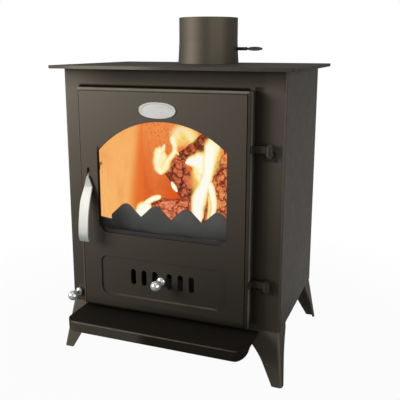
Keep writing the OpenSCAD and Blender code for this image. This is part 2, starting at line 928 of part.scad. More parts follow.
module arm_solid(z) {
  difference() {
    union() {
      translate([door_right, -hinge_out - arm_half, z]) cube([hinge_x - door_right, 2 * arm_half, arm_t]);
      translate([door_right, leaf_front - door_stand, z])
        cube([leaf_t, door_stand - leaf_front - hinge_out + arm_half, arm_t]);
      translate([hinge_x, -hinge_out, z]) cylinder(r = barrel_r, h = arm_t);
    }
    translate([hinge_x, -hinge_out, z - over])
      cylinder(r = hinge_pin_d / 2 + pin_gap, h = arm_t + 2 * over);
  }
}

module hinge_arm_upper() {
  color(paint) place() arm_solid(hinge_z);
}

module hinge_arm_lower() {
  color(paint) place() arm_solid(hinge_low_z);
}

// Keeper bar for the hook, on an ear behind the left of the door frame
module latch_keeper() {
  ear_x = door_left + door_lap - 2 * keeper_plate;
  bar_z = handle_z + hook_up + keeper_gap + keeper_r;
  foot_h = 8 * keeper_plate;
  color(steel) place() union() {
    translate([ear_x - foot_h, body_sheet, bar_z - foot_h])
      cube([foot_h + keeper_plate, keeper_plate, 1.5 * foot_h]);
    translate([ear_x, body_sheet, bar_z - foot_h / 2])
      cube([keeper_plate, keeper_y + 2 * keeper_r - body_sheet, foot_h]);
    translate([ear_x, keeper_y, bar_z]) rotate([0, 90, 0])
      cylinder(r = keeper_r, h = handle_x + 2 * blade_t - ear_x);
  }
}

module shutter_guides() {
  z = base_t + gap + shutter_t + gap;
  right = pull_x + shutter_w / 2 + gap;
  length = shutter_l;
  color(paint) place() {
    translate([right, shutter_y - shutter_tab, base_t]) cube([shutter_t, length, z + shutter_t - base_t]);
    translate([right - guide_lip, shutter_y - shutter_tab, z]) cube([guide_lip + over, length, shutter_t]);
    translate([-inner_x, shutter_y - shutter_tab, z]) cube([guide_lip + shutter_t, length, shutter_t]);
  }
}

// Door: a folded pan with every front edge rounded
module pan_section(half, inset) {
  r = door_bend - inset;
  front = -door_stand + inset;
  back = inset > 0 ? over : -door_back_gap;
  translate([-half, front + r]) square([2 * half, back - front - r]);
  translate([-half + r, front]) square([2 * (half - r), r + over]);
  for (s = [-1, 1]) translate([s * (half - r), front + r]) circle(r);
}

module pan_solid(inset) {
  half_w = door_w / 2 - inset;
  half_h = door_h / 2 - inset;
  translate([door_cx, 0, door_mid_z]) intersection() {
    translate([0, 0, -half_h]) linear_extrude(2 * half_h) pan_section(half_w, inset);
    rotate([0, 90, 0]) translate([0, 0, -half_w]) linear_extrude(2 * half_w) pan_section(half_h, inset);
  }
}

module window_plan(grow) {
  sill = win_low - grow;
  half = win_w / 2 + grow;
  r = win_corner;
  intersection() {
    translate([mid_x + win_arch_shift, win_crown - win_arch_r]) circle(win_arch_r + grow, $fn = 240);
    union() {
      translate([mid_x - half, sill + r]) square([2 * half, win_crown - sill]);
      translate([mid_x - half + r, sill]) square([2 * (half - r), r + over]);
      for (s = [-1, 1]) translate([mid_x + s * (half - r), sill + r]) circle(r);
    }
  }
}

module slot_places() {
  for (s = [-1, 1], i = [0 : 2])
    translate([mid_x + s * (slot_first + i * slot_pitch), slot_z]) children();
}

module door_panel() {
  ring = door_w - 2 * rib_in;
  ring_h = door_h - 2 * rib_in;
  flat_w = door_w - 2 * door_bend;
  flat_h = door_h - 2 * door_bend;
  color(paint) place() difference() {
    union() {
      difference() {
        pan_solid(0);
        pan_solid(door_sheet);
      }
      translate([0, -door_inside - over, 0]) upright(0, panel_depth + over)
        translate([mid_x, panel_z]) round_rect(panel_w + door_sheet, panel_h + door_sheet, panel_corner);
      upright(-rope_deep - rib_t, rib_h - door_sheet - rope_deep) translate([door_cx, door_mid_z])
        difference() {
          square([ring, ring_h], center = true);
          square([ring - 2 * rib_t, ring_h - 2 * rib_t], center = true);
        }
      upright(-rope_deep - rib_t, -rope_deep) translate([door_cx, door_mid_z])
        difference() {
          square([door_w - door_sheet, door_h - door_sheet], center = true);
          square([ring - 2 * rib_t, ring_h - 2 * rib_t], center = true);
        }
    }
    upright(-door_stand - over, groove_deep - door_stand) translate([door_cx, door_mid_z])
      difference() {
        square([flat_w, flat_h], center = true);
        square([flat_w - 2 * door_groove, flat_h - 2 * door_groove], center = true);
      }
    upright(-door_stand - over, -door_stand + panel_depth)
      translate([mid_x, panel_z]) round_rect(panel_w, panel_h, panel_corner);
    upright(-door_stand - over, 0) window_plan(0);
    upright(-door_stand - over, 0) slot_places() slot_shape(slot_w, slot_h);
    upright(-door_stand - over, 0) translate([mid_x + slide_travel / 2, slot_z]) rotate(90)
      slot_shape(2 * (stem_r + gap), slide_travel + 2 * (stem_r + gap));
    upright(-door_stand - over, -door_inside + over) translate([handle_x, blade_slot_z])
      slot_shape(blade_t + 2 * blade_free, blade_slot_h);
    translate([mid_x + badge_shift, -door_stand + badge_sink, badge_z]) rotate([90, 0, 0])
      badge_blank(0, badge_sink + over);
  }
}

// An oval with blunter ends than an ellipse has
module oval(w, h) {
  blunt = 0.88;
  polygon([for (t = [0:5:355])
    [w / 2 * sign(cos(t)) * pow(abs(cos(t)), blunt), h / 2 * sign(sin(t)) * pow(abs(sin(t)), blunt)]]);
}

module badge_blank(inset, h) {
  linear_extrude(h) oval(badge_w - 2 * inset, badge_h - 2 * inset);
}

module badge() {
  color(chrome) place() translate([mid_x + badge_shift, -door_stand + badge_sink, badge_z])
    rotate([90, 0, 0]) difference() {
      badge_blank(gap / 3, badge_t);
      translate([0, 0, badge_t - badge_sink / 2]) badge_blank(badge_rim, badge_sink);
    }
}

module door_glass() {
  color("#6f5a48") place() upright(glass_front, glass_back) window_plan(glass_lap);
}

module glass_gasket() {
  color(black_rope) place() upright(-door_inside, glass_front) difference() {
    window_plan(glass_lap);
    intersection() {
      window_plan(0);
      translate([mid_x - win_w, win_low + gasket_sill]) square([2 * win_w, win_crown]);
    }
  }
}

// Places of the glass clips: x and z at the glass edge, and the turn of each clip
function clip_list() = let(
  half = win_w / 2 + glass_lap,
  low = win_low - glass_lap,
  tall = win_crown - win_low,
  r = win_arch_r + glass_lap)
  concat(
    [for (s = [-1, 1], k = clip_z_share) [mid_x + s * half, low + k * tall, s > 0 ? 0 : 180]],
    [for (k = clip_x_share) [mid_x + k * win_w / 2, low, -90]],
    [for (s = [-1, 1])
      [mid_x + win_arch_shift + s * r * sin(clip_angle),
        win_crown - win_arch_r + r * cos(clip_angle),
        90 - s * clip_angle]]);

module clip_solid() {
  difference() {
    union() {
      translate([-clip_bite, glass_back, -clip_w / 2]) cube([clip_bite + clip_foot, clip_t, clip_w]);
      translate([gap, -door_inside, -clip_w / 2])
        cube([clip_foot - gap, glass_back + clip_t + door_inside, clip_w]);
    }
    translate([clip_foot / 2, -door_inside - over, 0]) rotate([-90, 0, 0])
      cylinder(r = clip_screw_r, h = door_stand + over);
  }
}

module clip_screw_solid() {
  translate([clip_foot / 2, -door_inside, 0]) rotate([-90, 0, 0]) {
    cylinder(r = clip_screw_r, h = glass_back + clip_t + door_inside + over / 2);
    translate([0, 0, glass_back + clip_t + door_inside]) cylinder(r = clip_head_r, h = clip_head_h);
  }
}

module glass_clips() {
  color(steel) place() for (c = clip_list()) translate([c[0], 0, c[1]]) rotate([0, -c[2], 0]) clip_solid();
}

module glass_clip_screws() {
  color(steel) place() for (c = clip_list())
    translate([c[0], 0, c[1]]) rotate([0, -c[2], 0]) clip_screw_solid();
}

// Rope seal: square core in its channel and a round back that meets the frame
module door_rope_seal() {
  out_w = door_w - 2 * rope_in;
  out_h = door_h - 2 * rope_in;
  mid = -gap - rope_r;
  color(black_rope) place() translate([door_cx, 0, door_mid_z]) union() {
    upright(-rope_deep, mid) difference() {
      square([out_w, out_h], center = true);
      square([out_w - 2 * rope_w, out_h - 2 * rope_w], center = true);
    }
    for (s = [-1, 1]) {
      translate([s * (out_w / 2 - rope_r), mid, 0]) cylinder(r = rope_r, h = out_h - rope_w, center = true);
      translate([0, mid, s * (out_h / 2 - rope_r)]) rotate([0, 90, 0])
        cylinder(r = rope_r, h = out_w - rope_w, center = true);
    }
    for (sx = [-1, 1], sz = [-1, 1])
      translate([sx * (out_w / 2 - rope_r), mid, sz * (out_h / 2 - rope_r)]) sphere(rope_r);
  }
}

module handle_bracket() {
  inner = blade_t / 2 + gap;
  depth = pivot_y + door_inside + 2 * pivot_r;
  color(steel) place() difference() {
    union() {
      translate([handle_x - inner - ear_t, -door_inside, handle_z - blade_slot_h + pivot_boss_r])
        cube([2 * (inner + ear_t), ear_t, blade_slot_h + pivot_r]);
      for (s = [-1, 1]) translate([handle_x + s * (inner + ear_t / 2), depth / 2 - door_inside, handle_z])
        cube([ear_t, depth, ear_h], center = true);
    }
    upright(-door_stand, -door_inside + ear_t + over) translate([handle_x, blade_slot_z])
      slot_shape(blade_t + 2 * gap, blade_slot_h);
    translate([handle_x, pivot_y, handle_z]) rotate([0, 90, 0])
      cylinder(r = pivot_r, h = door_w, center = true);
  }
}

module handle_pivot_pin() {
  half = blade_t / 2 + gap + ear_t;
  color(steel) place() translate([handle_x - half, pivot_y, handle_z]) rotate([0, 90, 0]) {
    cylinder(r = pivot_r, h = 2 * half);
    translate([0, 0, 2 * half]) cylinder(r = 1.5 * pivot_r, h = ear_t - gap);
  }
}

// Arc of the handle strip in the YZ plane: centre, radius, first angle above level, sweep
module strip_arc(y, z, r, from, sweep) {
  translate([0, y, z]) rotate([90, 0, -90]) rotate([0, 0, from]) rotate_extrude(angle = sweep)
    translate([r - handle_t, -handle_w / 2]) square([handle_t, handle_w]);
}

// Flat strip in a long bow, drawn to a point at the top, with the blade and hook behind it
module door_handle() {
  bow_y = -door_stand - handle_stand + bow_r;
  bow_z = handle_z - handle_drop;
  out = [bow_y - bow_r * cos(bow_angle), bow_z + bow_r * sin(bow_angle)];
  in = out + handle_t * [cos(bow_angle), -sin(bow_angle)];
  y0 = -door_stand - tip_out;
  tip = handle_z - tip_drop;
  color(stainless) place() translate([handle_x, 0, 0]) difference() {
    union() {
      strip_arc(bow_y, bow_z, bow_r, 0, bow_angle);
      strip_arc(bow_y - bow_r + curl_r, bow_z, curl_r, -curl_angle, curl_angle);
      translate([gap - handle_w / 2, bow_y - bow_r + gap, bow_z - over])
        cube([handle_w - 2 * gap, handle_t - 2 * gap, 2 * over]);
      intersection() {
        sideways(-handle_w / 2, handle_w / 2) polygon([out, in, [-door_stand - tip_off, tip], [y0, tip]]);
        upright(-handle_drop, 0) polygon([[-handle_w / 2, bow_z], [-handle_w / 2, out[1]],
          [-blade_t / 2, tip], [blade_t / 2, tip], [handle_w / 2, out[1]], [handle_w / 2, bow_z]]);
      }
      sideways(-blade_t / 2, blade_t / 2)
        polygon([[y0, handle_z - tip_low], [y0, handle_z - tip_drop], [-door_stand, handle_z - tang_top],
          [pivot_y - tang_neck, handle_z], [pivot_y, handle_z], [pivot_y, handle_z - tang_neck],
          [-door_inside, handle_z - tang_low], [-door_stand - tip_off, handle_z - tang_low]]);
      translate([-blade_t / 2, pivot_y, handle_z]) rotate([0, 90, 0])
        cylinder(r = pivot_boss_r, h = blade_t);
      translate([-blade_t / 2, pivot_y, handle_z - hook_down])
        cube([blade_t, hook_reach, hook_up + hook_down]);
    }
    upright(-handle_drop, -door_stand) polygon([[-handle_w, tip - taper_h], [-handle_w / 2, tip - taper_h],
      [taper_mid_w - handle_w / 2, tip - taper_mid_h], [-blade_t / 2, tip], [-handle_w, tip]]);
    translate([0, pivot_y, handle_z]) rotate([0, 90, 0])
      cylinder(r = pivot_r + pin_gap, h = 4 * blade_t, center = true);
  }
}

// Slotted slide: its slots meet the door's slots at rest, and its webs cover them when it is pushed over
module primary_air_slide() {
  color(steel) place() difference() {
    upright(slide_y, slide_y + slide_t) difference() {
      translate([mid_x, slot_z]) square([slide_w, slide_h], center = true);
      slot_places() slot_shape(slot_w, slot_h);
    }
    translate([mid_x, slide_y - over, slot_z]) rotate([-90, 0, 0])
      cylinder(r = stem_r, h = slide_t + 2 * over);
  }
}

module knob_solid(stem_to, stem) {
  ball_r = ball_d / 2;
  bead_r = bead_d / 2;
  tip = ball_stand;
  rotate([90, 0, 0]) rotate_extrude() difference() {
    union() {
      translate([0, -stem_to]) square([stem, stem_to + bead_h]);
      square([bead_r - bead_h / 2, bead_h]);
      translate([bead_r - bead_h / 2, bead_h / 2]) circle(bead_h / 2);
      square([knob_neck_r, tip]);
      translate([0, tip]) circle(ball_r);
    }
    translate([-ball_d, -ball_d - stem_to]) square([ball_d, 3 * ball_d + tip + stem_to]);
  }
}

module primary_air_knob() {
  foot = -door_stand + panel_depth - gap;
  color(chrome) place() translate([mid_x, foot, slot_z])
    knob_solid(slide_y + slide_t + stem_r - foot, stem_r);
}

module primary_air_nut() {
  color(steel) place() translate([mid_x, slide_y + slide_t, slot_z]) rotate([-90, 0, 0]) difference() {
    cylinder(r = 2 * stem_r, h = stem_r - gap, $fn = 6);
    translate([0, 0, -over]) cylinder(r = stem_r, h = stem_r + 2 * over);
  }
}

module air_slide_guides() {
  y0 = -door_inside + panel_depth;
  color(paint) place() for (s = [-1, 1]) translate([mid_x, 0, slot_z + s * (slide_h / 2 + gap)]) {
    translate([-slide_w / 2, y0, s > 0 ? 0 : -slide_guide_lip])
      cube([slide_w, slide_t + 2 * gap, slide_guide_lip]);
    translate([-slide_w / 2, y0 + slide_t + 2 * gap, s > 0 ? -slide_guide_lip + gap : -slide_guide_lip])
      cube([slide_w, slide_guide_t, 2 * slide_guide_lip - gap]);
  }
}

module secondary_air_rod() {
  end = shutter_y + shutter_tab;
  color(steel) place() translate([pull_x, 0, pull_z]) rotate([-90, 0, 0]) {
    translate([0, 0, bead_h]) cylinder(r = rod_r, h = end - bead_h);
    translate([0, 0, end]) cylinder(r = rod_r + over, h = rod_r / 2);
  }
}

module secondary_air_knob() {
  color(chrome) place() translate([pull_x, -gap, pull_z])
    knob_solid(bead_h + gap, rod_r);
}

module air_shutter() {
  x0 = pull_x - shutter_w / 2;
  color(steel) place() difference() {
    union() {
      translate([x0, shutter_y, base_t + gap]) cube([shutter_w, shutter_l, shutter_t]);
      translate([pull_x - shutter_tab_w / 2, shutter_y, base_t + gap])
        cube([shutter_tab_w, shutter_tab, pull_z + shutter_tab_w / 2 - base_t]);
    }
    translate([pull_x, shutter_y - over, pull_z]) rotate([-90, 0, 0])
      cylinder(r = rod_r, h = shutter_tab + 2 * over);
  }
}

// Fire bed: rough split logs, each an irregular prism from one end to the other
log_shape_share = [[1.0, 0.1], [0.72, 0.66], [0.15, 0.95], [-0.5, 0.8], [-0.95, 0.25], [-0.8, -0.5],
  [-0.2, -0.98], [0.62, -0.8]];

function bed_point(s) = [s[0] * fire_w, brick_front_y + s[1] * fire_d, grate_z + s[2] * brick_h];

module log_between(a, b, r, grow, turn) {
  d = b - a;
  len = norm(d);
  translate(a) rotate([0, acos(d[2] / len), atan2(d[1], d[0])]) rotate(turn)
    translate([0, 0, -grow]) linear_extrude(len + 2 * grow) polygon((r + grow) * log_shape_share);
}

module lying_log(s, r, grow) {
  ends = [for (p = s) [p[0] * fire_w, brick_front_y + p[1] * fire_d, grate_z + 0.98 * r]];
  translate(ends[0]) rotate([90, 0, 90]) translate([0, 0, -grow])
    linear_extrude(ends[1][0] - ends[0][0] + 2 * grow) polygon((r + grow) * log_shape_share);
}

module above_grate(lift) {
  intersection() {
    children();
    translate([-body_w / 2, 0, grate_z + lift]) cube([body_w, body_d, 2 * body_h]);
  }
}

module low_shape(grow) {
  lying_log(low_log_share, low_thick_share * fire_d, grow);
}

module back_shape(grow) {
  lying_log(back_log_share, back_thick_share * fire_d, grow);
}

module lean_shape(grow) {
  log_between(bed_point(lean_share[0]), bed_point(lean_share[1]), lean_thick_share * fire_d, grow, 20);
}

module stand_shape(grow) {
  log_between(bed_point(stand_share[0]), bed_point(stand_share[1]), stand_thick_share * fire_d, grow, 75);
}

module log_front() {
  color(char_wood) place() low_shape(0);
}

module log_back() {
  color(char_wood) place() difference() {
    back_shape(0);
    low_shape(gap);
  }
}

module log_leaning() {
  color(char_wood) place() above_grate(gap) difference() {
    lean_shape(0);
    low_shape(gap);
    back_shape(gap);
  }
}

module log_standing() {
  color(char_wood) place() above_grate(gap) difference() {
    stand_shape(0);
    lean_shape(gap);
    low_shape(gap);
    back_shape(gap);
  }
}

module log_top() {
  color(char_wood) place() difference() {
    log_between(bed_point(top_share[0]), bed_point(top_share[1]), top_thick_share * fire_d, 0, 50);
    lean_shape(gap);
    stand_shape(gap);
  }
}

body_shell();
back_panel();
base_plate();
top_plate();
flue_collar();
damper_disc();
damper_spindle();
damper_screws();
baffle_plate();
brick_left();
brick_right();
brick_back();
brick_spacers();
log_guard();
grate();
grate_frame();
grate_rails();
ash_pan();
ash_pan_runners();
ash_shelf();
shelf_bolts();
leg_front_left();
leg_front_right();
leg_rear_left();
leg_rear_right();
leg_bolts();
airwash_channel();
hinge_bracket_upper();
hinge_bracket_lower();
hinge_pin_upper();
hinge_pin_lower();
latch_keeper();
shutter_guides();
door_panel();
door_glass();
glass_gasket();
glass_clips();
glass_clip_screws();
door_rope_seal();
badge();
hinge_arm_upper();
hinge_arm_lower();
handle_bracket();
handle_pivot_pin();
air_slide_guides();
door_handle();
primary_air_slide();
primary_air_knob();
primary_air_nut();
secondary_air_rod();
secondary_air_knob();
air_shutter();
log_front();
log_back();
log_leaning();
log_standing();
log_top();
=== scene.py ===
import math

import bmesh
import bpy
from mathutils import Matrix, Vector, noise


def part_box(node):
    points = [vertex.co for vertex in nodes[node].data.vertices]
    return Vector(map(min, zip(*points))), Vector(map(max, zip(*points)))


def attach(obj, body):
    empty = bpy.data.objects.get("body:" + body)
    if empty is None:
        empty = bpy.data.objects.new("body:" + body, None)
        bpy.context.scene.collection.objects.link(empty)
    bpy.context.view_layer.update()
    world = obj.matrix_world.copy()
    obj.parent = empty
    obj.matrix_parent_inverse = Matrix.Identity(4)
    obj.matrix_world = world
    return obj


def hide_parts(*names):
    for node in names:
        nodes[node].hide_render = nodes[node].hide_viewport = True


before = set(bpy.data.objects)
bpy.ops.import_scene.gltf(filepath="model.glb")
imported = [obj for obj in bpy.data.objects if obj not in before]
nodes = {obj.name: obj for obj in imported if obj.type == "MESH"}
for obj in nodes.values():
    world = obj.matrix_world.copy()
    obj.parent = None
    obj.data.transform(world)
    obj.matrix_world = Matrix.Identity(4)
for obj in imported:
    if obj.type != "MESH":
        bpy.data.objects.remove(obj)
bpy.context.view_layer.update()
bpy.ops.object.select_all(action="DESELECT")
MM = 0.001

shell_low, shell_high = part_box("body_shell")
leaf_low, leaf_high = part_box("door_panel")
top_low, top_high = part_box("top_plate")
shelf_low, shelf_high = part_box("ash_shelf")
# The stove's own places in metres: y of the body's front, z of its underside, and z of the grate's top
FRONT, FLOOR_OF_BODY = shell_low.y, shell_low.z
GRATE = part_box("grate")[1].z


def local(x, y, z):
    """A point measured from the middle of the body's lower front edge, in millimetres."""
    return Vector((x * MM, y * MM + FRONT, z * MM + FLOOR_OF_BODY))


def past(start, *distances):
    """Places in metres that lie so many millimetres past a start."""
    return [start + d * MM for d in distances]


# Shader maths


class Num:
    """A shader number. Python sums on it add Math nodes."""

    def __init__(self, owner, socket):
        self.owner, self.socket = owner, socket

    def sum(self, how, *others, clamp=False):
        parts = dict(enumerate((self,) + others))
        made = self.owner.node("ShaderNodeMath", {"operation": how, "use_clamp": clamp}, parts)
        return Num(self.owner, made.outputs[0])

    def __add__(self, other):
        return self.sum("ADD", other)

    __radd__ = __add__

    def __mul__(self, other):
        return self.sum("MULTIPLY", other)

    __rmul__ = __mul__

    def __sub__(self, other):
        return self.sum("SUBTRACT", other)

    def __rsub__(self, other):
        made = self.owner.node("ShaderNodeMath", {"operation": "SUBTRACT"}, {0: other, 1: self})
        return Num(self.owner, made.outputs[0])

    def __truediv__(self, other):
        return self.sum("DIVIDE", other)

    def __pow__(self, other):
        return self.sum("POWER", other)

    def __abs__(self):
        return self.sum("ABSOLUTE")

    def least(self, other):
        return self.sum("MINIMUM", other)

    def most(self, *others):
        found = self
        for other in others:
            found = found.sum("MAXIMUM", other)
        return found

    def sine(self):
        return self.sum("SINE")

    def clamped(self):
        return self.sum("ADD", 0.0, clamp=True)


class Nodes:
    """The node tree of a material or of the world."""

    def __init__(self, owner, output):
        owner.use_nodes = True
        self.tree = owner.node_tree
        self.tree.nodes.clear()
        self.out = self.node(output)

    def node(self, kind, settings=None, sockets=None):
        """Adds a node, sets its properties or a ramp's stops, and then joins or sets its inputs."""
        made = self.tree.nodes.new(kind)
        for key, value in (settings or {}).items():
            if key == "stops":
                ramp = made.color_ramp.elements
                while len(ramp) > 1:
                    ramp.remove(ramp[-1])
                ramp[0].position, ramp[0].color = value[0]
                for place, colour in value[1:]:
                    ramp.new(place).color = colour
            else:
                setattr(made, key, value)
        for key, value in (sockets or {}).items():
            if isinstance(value, Num):
                value = value.socket
            if isinstance(value, bpy.types.NodeSocket):
                self.tree.links.new(value, made.inputs[key])
            else:
                made.inputs[key].default_value = value
        return made

    def ends_in(self, shader):
        self.tree.links.new(shader.outputs[0], self.out.inputs[0])


class Finish(Nodes):
    """One material: its nodes, and the shader that they feed."""

    INPUTS = {
        "metal": "Metallic", "glow": "Emission Color", "glow_strength": "Emission Strength",
        "alpha": "Alpha", "ior": "IOR", "through": "Transmission Weight",
        "tint": "Specular Tint", "specular": "Specular IOR Level"}

    def __init__(self, name):
        self.material = bpy.data.materials.new(name)
        super().__init__(self.material, "ShaderNodeOutputMaterial")
        self.where = self.node("ShaderNodeTexCoord").outputs["Object"]

    def axes(self):
        made = self.node("ShaderNodeSeparateXYZ", {}, {0: self.where})
        return [Num(self, output) for output in made.outputs]

    def own_value(self, name):
        """A value that the piece's mesh carries at its points."""
        return Num(self, self.node("ShaderNodeAttribute", {"attribute_name": name}).outputs["Fac"])

    def stretched(self, scale, turn=(0, 0, 0), shift=(0, 0, 0), where=None):
        made = self.node("ShaderNodeMapping", {}, {
            "Vector": where or self.where, "Scale": scale, "Rotation": turn, "Location": shift})
        return made.outputs[0]

    def grain(self, scale, detail=3.0, rough=0.5, where=None, warp=0.0, out=0):
        made = self.node("ShaderNodeTexNoise", {}, {
            "Vector": where or self.where, "Scale": scale, "Detail": detail,
            "Roughness": rough, "Distortion": warp})
        return Num(self, made.outputs[out])

    def cells(self, scale, feature="F1", where=None, out=0):
        made = self.node("ShaderNodeTexVoronoi", {"feature": feature}, {
            "Vector": where or self.where, "Scale": scale})
        return Num(self, made.outputs[out])

    def step(self, value, low, high, to_low=0.0, to_high=1.0):
        """A soft step that rises from low to high."""
        made = self.node("ShaderNodeMapRange", {"interpolation_type": "SMOOTHSTEP"}, {
            0: value, 1: low, 2: high, 3: to_low, 4: to_high})
        return Num(self, made.outputs[0])

    def fade(self, value, low, high):
        """A soft step that falls from low to high."""
        return 1.0 - self.step(value, low, high)

    def band(self, value, low, full, full_to, high):
        """A soft band that rises from low to full and falls from full_to to high."""
        return self.step(value, low, full) * self.fade(value, full_to, high)

    def ramp(self, value, *stops):
        coloured = [(place, self.colour(colour)) for place, colour in stops]
        return self.node("ShaderNodeValToRGB", {"stops": coloured}, {0: value}).outputs[0]

    def blend(self, share, a, b):
        made = self.node("ShaderNodeMix", {"data_type": "RGBA"}, {
            0: share, 6: self.colour(a), 7: self.colour(b)})
        return made.outputs[2]

    def colour(self, given):
        """Adds the fourth number to a colour of three. Anything else stays as it is."""
        return (*given, 1.0) if isinstance(given, tuple) and len(given) == 3 else given

    def bump(self, height, strength, depth):
        made = self.node("ShaderNodeBump", {}, {"Strength": strength, "Distance": depth, "Height": height})
        return made.outputs[0]

    def surface(self, colour, rough, normal=None, **more):
        sockets = {"Base Color": self.colour(colour), "Roughness": rough}
        if normal is not None:
            sockets["Normal"] = normal
        sockets.update((self.INPUTS[key], self.colour(value)) for key, value in more.items())
        self.ends_in(self.node("ShaderNodeBsdfPrincipled", {}, sockets))
        return self.material


def srgb(*shown):
    """A colour as a screen shows it, 0 to 255, as the shaders want it."""
    shares = [v / 255 for v in shown]
    return tuple(v / 12.92 if v <= 0.04045 else ((v + 0.055) / 1.055) ** 2.4 for v in shares)


def times(colour, factor, plus=0.0):
    """A colour made lighter or darker."""
    return tuple(c * factor + plus for c in colour)


# Stove paint

# The black of painted shade
PAINTED_SHADE_BLACK = (0.0012, 0.001, 0.0008)
PAINT_TINT = (1.0, 0.86, 0.68)
WARM_PAINT = (0.0070, 0.0060, 0.0048), (0.0105, 0.0090, 0.0072)
# The legs' paint is lighter than the body's: painted light
LIT_LEG_PAINT = (0.021, 0.0186, 0.015), (0.030, 0.0266, 0.0214)
# The hinges' paint is darker than the body's: painted shade
SHADED_HINGE_PAINT = (0.004, 0.0037, 0.0032), (0.006, 0.0055, 0.0048)
COLLAR_PAINT = (0.019, 0.0165, 0.0120), (0.028, 0.0245, 0.0175)
SLIDE_PAINT = (0.0035, 0.0032, 0.003), (0.005, 0.0046, 0.0042)


class Coat:
    """The paint of one part while its marks are laid on. edge is the way in from the rim of a rubbed
    plate. The last attribute is painted shade: how far a place is painted dark and has lost its shine.
    It goes in as metal, because a metal this dark shows no highlight."""

    def __init__(self, f, dark, light):
        self.f, self.dark, self.light = f, dark, light
        self.x, self.y, self.z = f.axes()
        self.colour = self.shine = self.edge = self.painted_shade = None

    def lay(self, share, colour):
        self.colour = self.f.blend(share, self.colour, colour)


def stove_paint(name, tones, rough=0.57, rubbed=None, dust=0.0, wear=1.0, sheen=0.9, marks=None):
    """Satin stove paint: a fine sprayed grain, faint clouding, and a rubbed line along the edges of a
    plate. tones are its darkest and lightest colours, rubbed is the plate's low and high sides with the
    line's width, and marks is the function that lays on what one part alone shows."""
    f = Finish(name)
    dark, light = tones
    coat = Coat(f, dark, light)
    cloud = f.grain(5.0, 3.0, 0.5)
    speck = f.grain(1700.0, 2.0, 0.6)
    tooth = f.grain(700.0, 2.0, 0.5)
    coat.colour = f.blend(f.step(cloud, 0.3, 0.7), dark, light)
    coat.lay(f.step(speck, 0.62, 0.8) * 0.12, times(light, 2.2))
    coat.shine = rough + (cloud - 0.5) * 0.07 + (speck - 0.5) * 0.06
    if rubbed:
        low, high, wide = rubbed
        for axis, a, b in zip((coat.x, coat.y, coat.z), low, high):
            if a is not None:
                near = (axis - a).least(b - axis)
                coat.edge = coat.edge.least(near) if coat.edge else near
        # The rubbed line is worn paint
        wear_and_shade = f.fade(coat.edge, 0.0, wide) * f.step(f.grain(70.0, 3.0, 0.6), 0.3, 0.7) * wear * 0.4
        coat.lay(wear_and_shade, times(light, 2.4, 0.006))
        coat.shine -= wear_and_shade * 0.12
    if marks:
        marks(coat)
    if dust:
        settled = f.step(f.grain(9.0, 4.0, 0.6), 0.45, 0.85) * dust
        coat.lay(settled, (0.07, 0.065, 0.058))
        coat.shine += settled * 0.2
    sprayed = f.bump(tooth * 0.7 + speck * 0.3, 0.05, 0.0003)
    # Painted shade goes in as metal, which takes away its highlight
    more = {"metal": coat.painted_shade.clamped()} if coat.painted_shade else {}
    return f.surface(coat.colour, coat.shine.clamped(), sprayed, specular=sheen, tint=PAINT_TINT, **more)


